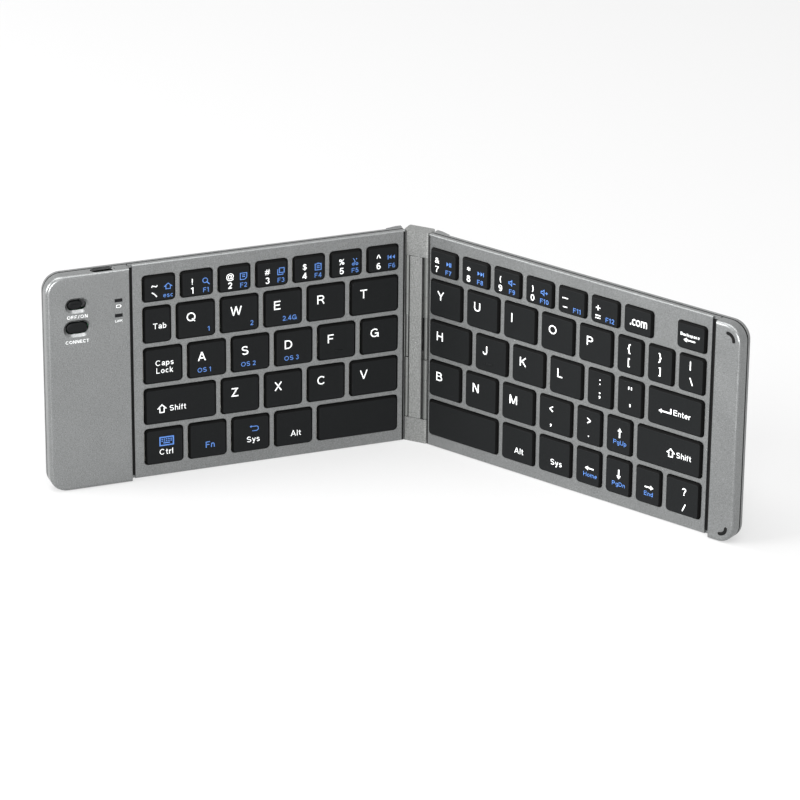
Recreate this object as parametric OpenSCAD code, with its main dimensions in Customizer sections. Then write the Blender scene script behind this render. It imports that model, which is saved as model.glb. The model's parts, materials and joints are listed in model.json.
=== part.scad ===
// Folding wireless keyboard: two key halves that turn on a narrow spine.
// It stands on its front edge as an open V, so +Z runs from the space bar edge
// to the number row edge, and both fold axes are vertical.
// The origin is on the foot of the spine, midway between the two fold axes.
// -Y is the typing side. Each half is drawn in its own frame: x runs outward
// from its fold axis, y runs back from it, and z runs up from the foot.

/* [Halves] */
// Depth of the keyboard, from the space bar edge to the number row edge
depth = 89.2; // [86:0.2:95]
// Length of each half from its hinge end to its outer end
half_len = 145; // [144:0.5:150]
// Thickness of the key deck, front to back
deck_t = 4.4; // [4.2:0.1:6]
// Distance from the deck's front face back to the seam of the two shells
seam_depth = 2; // [1.8:0.1:2.2]
// Thickness of the deck's front plate
plate_t = 0.9; // [0.8:0.05:1]
// Thickness of the back shell's floor
floor_t = 0.8; // [0.7:0.05:0.9]
// Thickness of the outer walls
wall_t = 1.2; // [1:0.1:1.4]
// Radius of the outer corners
corner_r = 7; // [5:0.5:9]
// Chamfer along the deck's front edges
deck_chamfer = 0.35; // [0.1:0.05:0.6]
// Rounding of the back shell's edges
back_round = 0.8; // [0.4:0.1:1.2]
// Bevel along the seam between the front and back shells
seam_bevel = 0.2; // [0.1:0.05:0.3]

/* [Raised flanks] */
// Height of the flanks above the deck
flank_rise = 2.75; // [2.5:0.05:3.2]
// Width of the left flank, which holds the battery and the circuit board
left_flank_w = 33; // [32.6:0.1:34.5]
// Width of the right flank
right_flank_w = 11.3; // [11:0.1:12]
// Groove between the left deck and its flank
left_groove_w = 1.7; // [1.4:0.1:2]
// Groove between the right deck and its flank
right_groove_w = 3; // [2.6:0.1:3.2]
// Depth from the deck's face to the rubber strip in a groove
seal_depth = 0.6; // [0.4:0.05:0.8]
// Gap round the rubber strip
seal_gap = 0.1; // [0.05:0.01:0.12]
// Rounding of the flanks' front edges
flank_round = 1.3; // [0.8:0.1:1.6]
// Rounding of the flanks' edges beside the groove
step_round = 0.4; // [0.3:0.05:0.8]
// Thickness of the flanks' front wall
flank_wall = 1; // [0.9:0.05:1.1]

/* [Fold hinges] */
// Depth of the fold axes behind the deck's front face
pivot_depth = 1.2; // [1.15:0.05:1.3]
// Gap left between the flanks when the keyboard is folded shut
closed_gap = 0.3; // [0.3:0.05:0.6]
// Fold of the left half from flat, as it stands
left_fold = 45; // [0:1:85]
// Fold of the right half from flat, as it stands
right_fold = 12; // [0:1:85]
// Radius of the steel hinge pins
pin_r = 0.6; // [0.5:0.05:0.7]
// Running clearance round a hinge pin
pin_play = 0.03; // [0.02:0.01:0.06]
// Radius of the hinge barrels
barrel_r = 1.3; // [1.2:0.05:1.32]
// Height of the spine's two end blocks
end_block_h = 10.2; // [9:0.2:12]
// Height of the middle bay, where the flat cable crosses
cable_bay_h = 18; // [14:1:22]
// Distance from the middle bay to the ring groove round a hinge barrel
barrel_split = 8.7; // [6:0.1:10]
// How far the spine stands proud of the decks
spine_proud = 0.3; // [0.1:0.05:0.4]
// Clearance between the turning ends of the halves and the spine
swing_gap = 0.15; // [0.1:0.01:0.25]
// Thickening of the halves' backs beside the spine
ridge_t = 1.2; // [0.8:0.1:1.5]
// Length of that thickening
ridge_len = 6.5; // [4:0.5:8]
// Thickness of the spine's textured cover plate
cover_t = 1; // [0.8:0.1:1.2]
// Thickness of the spine's back wall
spine_wall = 1.3; // [1:0.1:1.4]

/* [Keys] */
// Metal left between two key wells
web = 1.6; // [1.4:0.1:1.8]
// Height of a number key's well
number_key_h = 11.3; // [11:0.1:11.6]
// Distance from the foot to the first row of wells
first_row_z = 4.9; // [4.6:0.1:5]
// Distance from the last row of wells to the number row edge
last_row_gap = 4.8; // [4.6:0.1:5]
// Distance from the left half's hinge end to its keys
left_margin = 2.7; // [2.5:0.1:3]
// Deck left between the left half's keys and its groove
left_outer_margin = 3.6; // [3:0.1:4]
// Distance from the right half's hinge end to its keys
right_margin = 1; // [1:0.1:1.2]
// Deck left between the right half's keys and its groove
right_outer_margin = 1.7; // [1.4:0.1:2]
// Corner radius of the key wells
well_r = 1.7; // [1.2:0.1:2]
// Gap between a keycap and its well
key_gap = 0.25; // [0.2:0.05:0.3]
// How far the keycaps stand above the deck
key_rise = 1.2; // [1:0.05:1.3]
// Travel of the keys
key_travel = 1.2; // [1:0.05:1.2]
// Thickness of a keycap, skirt included
cap_t = 1.5; // [1.4:0.05:1.6]
// Thickness of a keycap's top
cap_top_t = 0.8; // [0.7:0.05:0.9]
// Wall of a keycap's skirt
cap_wall = 0.9; // [0.7:0.1:1.1]
// Thickness of the steel plate under the keys
key_plate_t = 0.3; // [0.2:0.05:0.4]
// Thickness of the contact membrane
membrane_t = 0.2; // [0.1:0.05:0.25]
// Clearance under a key that is pressed fully down
bottom_gap = 0.15; // [0.1:0.01:0.2]
// Base radius of a rubber dome
dome_r = 2.6; // [2.2:0.1:2.8]
// Width of the bars of a key lift
lift_bar = 0.8; // [0.6:0.1:1]
// Distance from the edge of a well to its key lift
lift_inset = 2; // [1.6:0.1:2.2]

/* [Controls and socket] */
// Distance of the switch and the button from the left half's outer end
control_inset = 12.1; // [11.5:0.1:13]
// Distance of the power switch from the number row edge
switch_inset = 12.4; // [11.2:0.1:13.2]
// Length of the power switch's slot
switch_w = 7.2; // [6.6:0.1:7.4]
// Height of the power switch's slot
switch_h = 3.8; // [3.4:0.1:4]
// Travel of the power switch
switch_travel = 1.3; // [1:0.1:1.5]
// Distance from the power switch down to the pairing button
button_drop = 9.4; // [9.2:0.1:10]
// Length of the pairing button's hole
button_w = 8.7; // [8.2:0.1:9]
// Height of the pairing button's hole
button_h = 4.6; // [4.2:0.1:4.8]
// Travel of the pairing button
button_travel = 0.4; // [0.3:0.05:0.5]
// Width of the bevel round the switch and the button
bevel_w = 1.1; // [0.8:0.1:1.2]
// Depth of that bevel
bevel_depth = 1.2; // [1:0.05:1.3]
// Clearance round the switch and the button
control_gap = 0.2; // [0.15:0.05:0.3]
// Distance of the indicator windows from the left flank's inner side
led_inset = 4.6; // [4.4:0.1:6]
// Length of an indicator window
led_w = 3.1; // [2.6:0.1:3.4]
// Height of an indicator window
led_h = 1.4; // [1.2:0.1:1.6]
// Distance between the indicator windows
led_pitch = 6.2; // [5.6:0.1:6.6]
// Distance of the charging socket from the left half's outer end
usb_inset = 23; // [22:0.1:24]
// Outer width of the charging socket's steel shell
usb_w = 8.94; // [8.9:0.02:9]
// Outer height of the charging socket's steel shell
usb_h = 3.2; // [3.1:0.02:3.26]
// Length of the charging socket
usb_len = 7.3; // [6.8:0.1:7.6]

/* [Inner pieces] */
// Thickness of the circuit board
board_t = 0.8; // [0.6:0.1:1]
// Height of the circuit board
board_h = 30; // [29:0.5:31]
// Width of the battery
battery_w = 20; // [16:0.5:21]
// Distance of the battery from the space bar edge
battery_edge = 7; // [3:0.5:10]
// Gap between the battery and the circuit board
battery_gap = 2.7; // [1:0.1:6]
// Thickness of the battery
battery_t = 3.6; // [3:0.1:4]
// Width of a holding magnet
magnet_w = 6.5; // [5:0.5:7]
// Height of a holding magnet
magnet_h = 12; // [8:1:14]
// Thickness of a holding magnet
magnet_t = 1.8; // [1.4:0.1:2]
// Radius of a case screw's shank
screw_r = 0.7; // [0.6:0.05:0.8]
// Radius of a case screw's head
screw_head_r = 1.25; // [1.1:0.05:1.3]
// Distance of the inner screws from the hinge end
screw_inset = 18; // [12:0.5:24]
// Distance of the outer screws from the left flank
screw_outset = 14; // [10:0.5:24]
// Thickness of a screw's head
screw_head_t = 0.6; // [0.4:0.05:0.6]
// Length of a rubber foot on the back
foot_len = 16; // [10:1:20]
// Width of a rubber foot on the back
foot_w = 5; // [4:0.5:7]
// Distance of the inner feet from the hinge end
foot_inset = 24; // [18:1:40]
// Distance of the outer feet from the half's outer end, foot included
foot_outset = 30; // [26:1:50]
// Distance of the feet from the long edges
foot_edge = 8; // [6:0.5:12]
// How far a rubber foot stands proud
foot_proud = 0.5; // [0.4:0.05:0.6]
// Radius of the crescent bumpers on the right flank
bumper_r = 2.7; // [2.4:0.1:3]
// Distance of a bumper's centre from the half's outer end
bumper_end_inset = 5.8; // [5.6:0.1:6.2]
// Distance of a bumper's centre from the long edges
bumper_edge_inset = 6.3; // [6:0.1:7]
// Width of the crescent bumpers
bumper_w = 1.3; // [1:0.1:1.5]
// How far the crescent bumpers stand proud
bumper_proud = 0.2; // [0.1:0.05:0.25]

/* [Hidden] */
$fn = 48;

// Tiny overlap that makes cuts run clean through
eps = 0.05;
// Facets of a round that a hull joins, and angle from one step of a rim to the next
hull_fn = 32;
rim_step = 22.5;
// Letter keys and the others, as a width in letter keys
slim = 0.765;
number = 0.845;
// Bare stretch of deck in the right number row
bare = -0.45;
// Key widths of each row, front row first, from the hinge outward.
// A width is counted in letter keys, and a negative one is bare deck.
left_rows = [
    [2.11, 1, 1, 1, 1],
    [1.27, 1, 1, 1, 1.84],
    [1, 1, 1, 1, 1, 1],
    [1.27, 1, 1, 1, 1, 0.73],
    [number, number, number, number, number, number, number]
];
right_rows = [
    [2.12, 1, 1, slim, slim, slim, 1],
    [1, 1, 1, 1, slim, slim, 1.87],
    [1.28, 1, 1, 1, slim, slim, 1.59],
    [1, 1, 1, 1, 1, slim, slim, slim],
    [number, number, number, number, number, number, number, bare, number]
];
number_row = 4;

// Depths in a half's own frame, where the fold axis is y = 0
deck_y = -pivot_depth;
flank_y = deck_y - flank_rise;
seam_y = deck_y + seam_depth;
back_y = deck_y + deck_t;
floor_y = back_y - floor_t;
plate_y = deck_y + plate_t;
ridge_y = back_y + ridge_t;
cap_y = deck_y - key_rise;
pressed_y = cap_y + cap_t + key_travel;
key_plate_y = floor_y - key_plate_t;
membrane_y = key_plate_y - membrane_t;
lift_y = pressed_y + bottom_gap;
dome_y = cap_y + cap_top_t + key_travel + bottom_gap;

// The spine, in the keyboard's frame
hinge_x = flank_rise + pivot_depth + closed_gap / 2;
spine_front_y = deck_y - spine_proud;
near_x = -spine_front_y + swing_gap;
end_x = near_x + half_len;
spine_side_r = barrel_r + 0.05;
cover_edge_x = hinge_x - near_x + swing_gap / 2;
knuckle_z0 = end_block_h + swing_gap;
knuckle_z1 = depth - end_block_h - swing_gap;
cable_z0 = (depth - cable_bay_h) / 2;
cable_z1 = cable_z0 + cable_bay_h;
pin_end = end_block_h * 0.4;
split_w = 0.25;
split_depth = 0.2;
leaf_t = 0.85;
flex_t = 0.1;

// Key blocks
left_x = near_x + left_margin;
right_x = near_x + right_margin;
row_pitch = (depth - first_row_z - last_row_gap - number_key_h) / number_row;
key_h = row_pitch - web;
left_step_x = end_x - left_flank_w;
right_step_x = end_x - right_flank_w;
left_block_w = left_step_x - left_groove_w - left_outer_margin - left_x;
right_block_w = right_step_x - right_groove_w - right_outer_margin - right_x;

// Controls, socket and board in the left flank
control_x = end_x - control_inset;
switch_z = depth - switch_inset;
button_z = switch_z - button_drop;
led_x = left_step_x + led_inset;
usb_x = end_x - usb_inset;
socket_y = flank_y + flank_wall + usb_h / 2 + 0.1;
board_y = socket_y + usb_h / 2;
board_z1 = depth - wall_t - 0.3;
board_z0 = board_z1 - board_h;
board_x0 = left_step_x + wall_t + 0.4;
board_x1 = end_x - corner_r - 0.3;
battery_h = board_z0 - battery_gap - battery_edge;
knob_w = switch_w - switch_travel - 2 * control_gap;
knob_y = flank_y + bevel_depth - 0.5;
rim_y = flank_y + bevel_depth;
pad_y = rim_y + 0.6;
tact_y = pad_y + 0.9;

// Case screws sit in the margins above and below the keys
boss_r = 1.25;
boss_sink = 0.15;
screw_edge = wall_t + boss_r - boss_sink;
screw_xs = [near_x + screw_inset, left_step_x - screw_outset];
screw_zs = [screw_edge, depth - screw_edge];
magnet_x = end_x - wall_t - 1 - magnet_w;
magnet_zs = [16, 40];
bumper_depth = 0.5;

// ---- Placing ----

module place_left() {
    translate([-hinge_x, 0, 0]) rotate([0, 0, left_fold]) mirror([1, 0, 0]) children();
}

module place_right() {
    translate([hinge_x, 0, 0]) rotate([0, 0, -right_fold]) children();
}

// ---- Basic shapes, all in a half's own frame ----

// Box between two corners
module block(x0, x1, y0, y1, z0, z1) {
    translate([x0, y0, z0]) cube([x1 - x0, y1 - y0, z1 - z0]);
}

// Flat disc or drilled hole that runs along y
module disc(x, y0, y1, z, r) {
    translate([x, y1, z]) rotate([90, 0, 0]) cylinder(r = r, h = y1 - y0);
}

// Thickens a flat shape, drawn as seen from the front, from y0 back to y1
module thicken(y0, y1) {
    translate([0, y1, 0]) rotate([90, 0, 0]) linear_extrude(height = y1 - y0) children();
}

// Box with round corners as seen from the front
module round_block(x0, x1, y0, y1, z0, z1, r) {
    thicken(y0, y1) {
        translate([x0 + r, z0]) square([x1 - x0 - 2 * r, z1 - z0]);
        translate([x0, z0 + r]) square([x1 - x0, z1 - z0 - 2 * r]);
        for (x = [x0 + r, x1 - r], z = [z0 + r, z1 - r]) translate([x, z]) circle(r = r);
    }
}

// Slot shape with round ends, long along x
module stadium(x, y0, y1, z, w, h) {
    reach = (w - h) / 2;
    thicken(y0, y1) {
        translate([x - reach, z - h / 2]) square([2 * reach, h]);
        for (side = [-1, 1]) translate([x + side * reach, z]) circle(r = h / 2);
    }
}

// Plate with its two outer corners round, drawn in from the outline by an inset
module outline_plate(x0, inset, y0, y1) {
    r = corner_r - inset;
    x1 = end_x - inset;
    z0 = inset;
    z1 = depth - inset;
    thicken(y0, y1) intersection() {
        union() {
            translate([x0, z0]) square([x1 - r - x0, z1 - z0]);
            translate([x0, z0 + r]) square([x1 - x0, z1 - z0 - 2 * r]);
            for (z = [z0 + r, z1 - r]) translate([x1 - r, z]) circle(r = r);
        }
        translate([x0, z0]) square([x1 - x0, z1 - z0]);
    }
}

// Shell with a rounded rim round its face and a small bevel at the seam. Its
// inner side takes that share of the rounding.
module rounded_shell(x0, y_face, round_r, inner) {
    way = y_face > seam_y ? 1 : -1;
    hull() {
        for (angle = [0:rim_step:90]) {
            inset = round_r * (1 - cos(angle));
            y_reach = y_face - way * round_r * (1 - sin(angle));
            rim_plate(x0 + inner * inset, inset, seam_y + way * seam_bevel, y_reach);
        }
        rim_plate(x0, seam_bevel, seam_y, y_face - way * round_r);
    }
}

module rim_plate(x0, inset, ya, yb) {
    outline_plate(x0, inset, min(ya, yb), max(ya, yb), $fn = hull_fn);
}

// ---- Key layout ----

function total(list, i = 0) = i >= len(list) ? 0 : abs(list[i]) + total(list, i + 1);
function unit(row, block_w) = (block_w - web * (len(row) - 1)) / total(row);
function key_start(row, i, block_w, x0) =
    x0 + (i == 0 ? 0 : key_start(row, i - 1, block_w, 0) + abs(row[i - 1]) * unit(row, block_w) + web);
function row_z(r) = first_row_z + r * row_pitch;
function row_h(r) = r == number_row ? number_key_h : key_h;

// Runs its children's shape over the picked keys of one row. The children are
// drawn by key_shape, because each key has its own size.
module keys_of_row(rows, r, block_w, x0, first, last, shape) {
    for (i = [first:last])
        if (rows[r][i] > 0) {
            start = key_start(rows[r], i, block_w, x0);
            width = rows[r][i] * unit(rows[r], block_w);
            key_shape(shape, start, start + width, row_z(r), row_z(r) + row_h(r));
        }
}

module all_keys(rows, block_w, x0, shape) {
    for (r = [0:len(rows) - 1]) keys_of_row(rows, r, block_w, x0, 0, len(rows[r]) - 1, shape);
}

module key_shape(shape, x0, x1, z0, z1) {
    if (shape == "well") round_block(x0, x1, deck_y - eps, plate_y + eps, z0, z1, well_r);
    if (shape == "cap") keycap(x0 + key_gap, x1 - key_gap, z0 + key_gap, z1 - key_gap);
    if (shape == "lift") key_lift(x0 + lift_inset, x1 - lift_inset, z0 + lift_inset, z1 - lift_inset);
    if (shape == "dome") dome((x0 + x1) / 2, (z0 + z1) / 2);
}

// Hollow keycap at rest
module keycap(x0, x1, z0, z1) {
    difference() {
        round_block(x0, x1, cap_y, cap_y + cap_t, z0, z1, well_r - key_gap);
        block(
            x0 + cap_wall, x1 - cap_wall, cap_y + cap_top_t, cap_y + cap_t + eps,
            z0 + cap_wall, z1 - cap_wall
        );
    }
}

// Lift frame round a dome
module key_lift(x0, x1, z0, z1) {
    difference() {
        block(x0, x1, lift_y, membrane_y, z0, z1);
        block(
            x0 + lift_bar, x1 - lift_bar, lift_y - eps, membrane_y + eps,
            z0 + lift_bar, z1 - lift_bar
        );
    }
}

// Rubber dome that springs a key back
module dome(x, z) {
    translate([x, membrane_y, z]) rotate([90, 0, 0])
        cylinder(r1 = dome_r, r2 = dome_r * 0.6, h = membrane_y - dome_y);
}

// ---- Pieces that both halves have ----

// Front frame: the plate with its key wells, its top and bottom walls and its screw bosses
module deck_frame(rows, block_w, x0, step_x, groove_w) {
    x1 = step_x - groove_w;
    color("#8f9192") difference() {
        union() {
            intersection() {
                union() {
                    block(near_x, x1, deck_y, plate_y, 0, depth);
                    for (z = [0, depth - wall_t]) {
                        block(near_x, x1, deck_y, seam_y, z, z + wall_t);
                        block(x1 - eps, step_x - seal_gap, plate_y, seam_y, z, z + wall_t);
                    }
                    for (z = [0, knuckle_z1 + swing_gap])
                        block(near_x, near_x + leaf_t, deck_y, seam_y, z, z + end_block_h);
                }
                edge_profile(near_x - 1, step_x + 1);
            }
            for (x = screw_xs, z = screw_zs) disc(x, plate_y - eps, seam_y, z, boss_r);
        }
        all_keys(rows, block_w, x0, "well");
        for (x = screw_xs, z = screw_zs) disc(x, plate_y, seam_y + eps, z, screw_r);
    }
}

// Outline of the deck frame from its end, with chamfered front edges
module edge_profile(x0, x1) {
    translate([x0, 0, 0]) rotate([90, 0, 90]) linear_extrude(height = x1 - x0)
        polygon([
            [deck_y, deck_chamfer], [deck_y + deck_chamfer, 0],
            [seam_y - seam_bevel, 0], [seam_y, seam_bevel],
            [seam_y, depth - seam_bevel], [seam_y - seam_bevel, depth],
            [deck_y + deck_chamfer, depth], [deck_y, depth - deck_chamfer]
        ]);
}

// Rubber strip that closes the groove between a deck and its flank
module groove_seal(step_x, groove_w) {
    color("#161616") block(
        step_x - groove_w + seal_gap, step_x - seal_gap, deck_y + seal_depth, floor_y,
        wall_t + seal_gap, depth - wall_t - seal_gap
    );
}

// Raised cover of a flank, hollow behind
module flank_shell(step_x) {
    difference() {
        rounded_shell(step_x, flank_y, flank_round, step_round / flank_round);
        block(
            step_x + wall_t, end_x - wall_t, flank_y + flank_wall, seam_y + eps,
            corner_r, depth - corner_r
        );
        block(
            step_x + wall_t, end_x - corner_r, flank_y + flank_wall, seam_y + eps,
            wall_t, depth - wall_t
        );
    }
}

// Back shell with the thicker ridge that meets the spine
module back_shell() {
    color("#87898a") difference() {
        union() {
            rounded_shell(near_x, back_y, back_round, 0);
            linear_extrude(height = depth)
                polygon([
                    [near_x, floor_y], [near_x, ridge_y], [near_x + ridge_len * 0.3, ridge_y],
                    [near_x + ridge_len, back_y], [near_x + ridge_len, floor_y]
                ]);
        }
        block(
            near_x + wall_t, end_x - corner_r, seam_y - 1, floor_y, wall_t, depth - wall_t
        );
        block(
            near_x + wall_t, end_x - wall_t, seam_y - 1, floor_y, corner_r, depth - corner_r
        );
        block(near_x - 1, near_x + wall_t + eps, seam_y - 1, floor_y, knuckle_z0, knuckle_z1);
        for (x = screw_xs, z = screw_zs) {
            disc(x, floor_y - eps, back_y + eps, z, screw_r + 0.1);
            disc(x, back_y - screw_head_t, back_y + eps, z, screw_head_r + 0.05);
        }
        for (spot = foot_spots())
            round_block(
                spot[0], spot[0] + foot_len, back_y - 0.3, back_y + eps,
                spot[1], spot[1] + foot_w, 1.5
            );
    }
}

// Lower left corners of the feet on a half's back
function foot_spots() = [
    for (x = [near_x + foot_inset, end_x - foot_outset], z = [foot_edge, depth - foot_edge - foot_w])
        [x, z]
];

// Four rubber feet, let into the back shell
module back_feet() {
    color("#1c1c1d") for (spot = foot_spots())
        round_block(
            spot[0] + 0.1, spot[0] + foot_len - 0.1, back_y - 0.3, back_y + foot_proud,
            spot[1] + 0.1, spot[1] + foot_w - 0.1, 1.4
        );
}

// Hinge leaf: the end wall of a half, with two barrels on the pins and a bare middle bay
module hinge_leaf() {
    color("#a4a6a7") difference() {
        union() {
            block(near_x, near_x + leaf_t, plate_y, floor_y, knuckle_z0, knuckle_z1);
            for (span = [[knuckle_z0, cable_z0], [cable_z1, knuckle_z1]]) {
                translate([0, 0, span[0]]) cylinder(r = barrel_r, h = span[1] - span[0]);
                block(0, near_x + eps, plate_y, 1, span[0], span[1]);
            }
            block(near_x - 0.6, near_x + eps, plate_y, 0.8, cable_z0 - eps, cable_z1 + eps);
        }
        translate([0, 0, -eps]) cylinder(r = pin_r + pin_play, h = depth + 2 * eps);
        for (z = [cable_z0 - barrel_split, cable_z1 + barrel_split]) translate([0, 0, z]) barrel_ring();
    }
}

// Thin ring cut round a hinge barrel
module barrel_ring() {
    difference() {
        cylinder(r = barrel_r + eps, h = split_w);
        translate([0, 0, -eps]) cylinder(r = barrel_r - split_depth, h = split_w + 2 * eps);
    }
}

module key_plate(x0, block_w) {
    color("#b4b6b8") block(
        x0, x0 + block_w, key_plate_y, floor_y, screw_edge + boss_r + 0.3, depth - screw_edge - boss_r - 0.3
    );
}

module membrane(x0, block_w) {
    color("#c9c7ba") block(
        x0, x0 + block_w, membrane_y, key_plate_y,
        screw_edge + boss_r + 0.3, depth - screw_edge - boss_r - 0.3
    );
}

module case_screws() {
    color("#5a5c5e") for (x = screw_xs, z = screw_zs) {
        disc(x, plate_y + 0.2, back_y - 0.2, z, screw_r - 0.05);
        disc(x, back_y - screw_head_t, back_y - 0.15, z, screw_head_r);
    }
}

module magnets() {
    color("#c6c8ca") for (z = magnet_zs)
        block(
            magnet_x, magnet_x + magnet_w, flank_y + flank_wall, flank_y + flank_wall + magnet_t,
            z, z + magnet_h
        );
}

module keycaps(rows, block_w, x0, r, first, last) {
    color("#232526") keys_of_row(rows, r, block_w, x0, first, last, "cap");
}

// ---- Spine ----

// Section of the spine as seen from above, between two heights
module spine_section(z0, z1) {
    front_r = spine_side_r;
    back_r = 0.8;
    side_x = hinge_x + spine_side_r;
    translate([0, 0, z0]) linear_extrude(height = z1 - z0) {
        translate([-hinge_x, spine_front_y]) square([2 * hinge_x, ridge_y - spine_front_y]);
        translate([-side_x, spine_front_y + front_r])
            square([2 * side_x, ridge_y - back_r - spine_front_y - front_r]);
        translate([-side_x + back_r, ridge_y - 2 * back_r])
            square([2 * (side_x - back_r), 2 * back_r]);
        for (side = [-1, 1]) {
            translate([side * hinge_x, spine_front_y + front_r]) circle(r = front_r);
            translate([side * (side_x - back_r), ridge_y - back_r]) circle(r = back_r);
        }
    }
}

// Spine body: two end blocks, joined by a channel that the barrels turn in
module spine_body() {
    color("#939596") difference() {
        spine_section(0, depth);
        translate([-hinge_x - spine_side_r - 1, spine_front_y - 1, end_block_h])
            cube([
                2 * (hinge_x + spine_side_r + 1), 1 - spine_front_y + barrel_r + swing_gap,
                depth - 2 * end_block_h
            ]);
        translate([-hinge_x - spine_side_r + 0.8, 0, end_block_h])
            cube([2 * (hinge_x + spine_side_r - 0.8), ridge_y - spine_wall, depth - 2 * end_block_h]);
        for (side = [-1, 1]) translate([side * hinge_x, 0, pin_end])
            cylinder(r = pin_r + pin_play, h = depth - 2 * pin_end);
    }
}

// Textured plate between the hinge barrels, with the web that carries it
module spine_cover() {
    z0 = end_block_h + swing_gap;
    z1 = depth - end_block_h - swing_gap;
    color("#8b8d8e") {
        translate([-cover_edge_x, spine_front_y, z0]) cube([2 * cover_edge_x, cover_t, z1 - z0]);
        for (span = [[z0, cable_z0], [cable_z1, z1]])
            translate([-1, spine_front_y + cover_t - eps, span[0]])
                cube([2, ridge_y - spine_wall - spine_front_y - cover_t + eps, span[1] - span[0]]);
    }
}

// Steel pin on one fold axis, from end block to end block
module hinge_pin(side) {
    color("#c8cacc") translate([side * hinge_x, 0, pin_end + eps])
        cylinder(r = pin_r, h = depth - 2 * pin_end - 2 * eps);
}

// Flat cable between the halves, lying on the channel's back wall
module flex_cable() {
    reach = hinge_x + spine_side_r - 1;
    color("#b8862d") translate([-reach, ridge_y - spine_wall - flex_t, cable_z0 + 2])
        cube([2 * reach, flex_t, cable_bay_h - 4]);
}

// ---- Left flank ----

module left_flank_cover() {
    color("#8f9192") difference() {
        union() {
            flank_shell(left_step_x);
            control_pad(switch_z, switch_w, switch_h);
            control_pad(button_z, button_w, button_h);
        }
        control_cut(switch_z, switch_w, switch_h);
        control_cut(button_z, button_w, button_h);
        for (z = [switch_z, switch_z - led_pitch])
            block(
                led_x - led_w / 2, led_x + led_w / 2, flank_y - eps, flank_y + flank_wall + eps,
                z - led_h / 2, z + led_h / 2
            );
        stadium_upright(usb_x, socket_y, depth - wall_t - 1, depth + 1, usb_w + 0.6, usb_h + 0.4);
    }
}

// Thickening behind a control's hole
module control_pad(z, w, h) {
    block(
        control_x - w / 2 - 1, control_x + w / 2 + 1, flank_y + flank_wall - eps, pad_y,
        z - h / 2 - 1, z + h / 2 + 1
    );
}

// Bevelled recess and hole of a control
module control_cut(z, w, h) {
    hull() {
        stadium(
            control_x, flank_y - eps, flank_y, z, w + 2 * bevel_w, h + 2 * bevel_w, $fn = hull_fn
        );
        stadium(control_x, rim_y - eps, rim_y, z, w, h, $fn = hull_fn);
    }
    stadium(control_x, rim_y - 2 * eps, pad_y + eps, z, w, h);
}

// Slot shape with round ends that runs along z
module stadium_upright(x, y, z0, z1, w, h) {
    reach = (w - h) / 2;
    translate([x - reach, y - h / 2, z0]) cube([2 * reach, h, z1 - z0]);
    for (side = [-1, 1]) translate([x + side * reach, y, z0]) cylinder(r = h / 2, h = z1 - z0);
}

module power_slider() {
    x = control_x + switch_travel / 2;
    color("#1f2021") {
        stadium(x, knob_y, pad_y + 0.2, switch_z, knob_w, switch_h - 2 * control_gap);
        block(x - 0.8, x + 0.8, pad_y + 0.2 - eps, tact_y + 0.3, switch_z - 0.6, switch_z + 0.6);
    }
}

module power_switch_housing() {
    reach = switch_travel / 2 + 2.2;
    color("#3a3c3e") difference() {
        block(control_x - 4, control_x + 4, tact_y, board_y, switch_z - 1.8, switch_z + 1.8);
        block(
            control_x - reach, control_x + reach, tact_y - eps, tact_y + 0.6,
            switch_z - 0.9, switch_z + 0.9
        );
    }
}

module pairing_button() {
    color("#1f2021") {
        stadium(
            control_x, knob_y, pad_y + 0.2, button_z,
            button_w - 2 * control_gap, button_h - 2 * control_gap
        );
        block(
            control_x - 1, control_x + 1, pad_y + 0.2 - eps, tact_y - button_travel - 0.1,
            button_z - 1, button_z + 1
        );
    }
}

module pairing_switch() {
    color("#9fa1a3") block(
        control_x - 2, control_x + 2, tact_y, board_y, button_z - 1.5, button_z + 1.5
    );
}

module indicator_windows() {
    color("#151616") for (z = [switch_z, switch_z - led_pitch])
        block(
            led_x - led_w / 2 + 0.05, led_x + led_w / 2 - 0.05, flank_y + 0.1, board_y,
            z - led_h / 2 + 0.05, z + led_h / 2 - 0.05
        );
}

module usb_socket() {
    shell_t = 0.3;
    z1 = depth - 0.5;
    z0 = z1 - usb_len;
    color("#a9abad") {
        difference() {
            stadium_upright(usb_x, socket_y, z0, z1, usb_w, usb_h);
            stadium_upright(
                usb_x, socket_y, z0 + 1, z1 + eps, usb_w - 2 * shell_t, usb_h - 2 * shell_t
            );
        }
        block(
            usb_x - 3.35, usb_x + 3.35, socket_y - 0.35, socket_y + 0.35, z0 + 1 - eps, z1 - 1.2
        );
    }
}

module main_board() {
    color("#1d5a3a") block(board_x0, board_x1, board_y, board_y + board_t, board_z0, board_z1);
}

// Pouch battery, on the floor of the back shell
module battery() {
    color("#b9bdc2") block(
        board_x0, board_x0 + battery_w, floor_y - battery_t, floor_y,
        battery_edge, battery_edge + battery_h
    );
}

// ---- Right flank ----

module right_flank_cover() {
    color("#8f9192") difference() {
        flank_shell(right_step_x);
        crescents(flank_y - eps, flank_y + bumper_depth, bumper_w + 0.1);
    }
}

module flank_bumpers() {
    color("#161616") crescents(flank_y - bumper_proud, flank_y + bumper_depth, bumper_w);
}

// Two quarter-ring shapes that follow the flank's outer corners
module crescents(y0, y1, w) {
    x = end_x - bumper_end_inset;
    for (side = [-1, 1]) {
        z = side > 0 ? depth - bumper_edge_inset : bumper_edge_inset;
        difference() {
            disc(x, y0, y1, z, bumper_r + w / 2);
            disc(x, y0 - eps, y1 + eps, z, bumper_r - w / 2);
            block(x - 10, x, y0 - eps, y1 + eps, z - 10, z + 10);
            block(
                x - eps, x + 10, y0 - eps, y1 + eps,
                side > 0 ? z - 10 : z, side > 0 ? z : z + 10
            );
        }
        disc(x, y0, y1, z + side * bumper_r, w / 2);
        disc(x + bumper_r, y0, y1, z, w / 2);
    }
}

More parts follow.
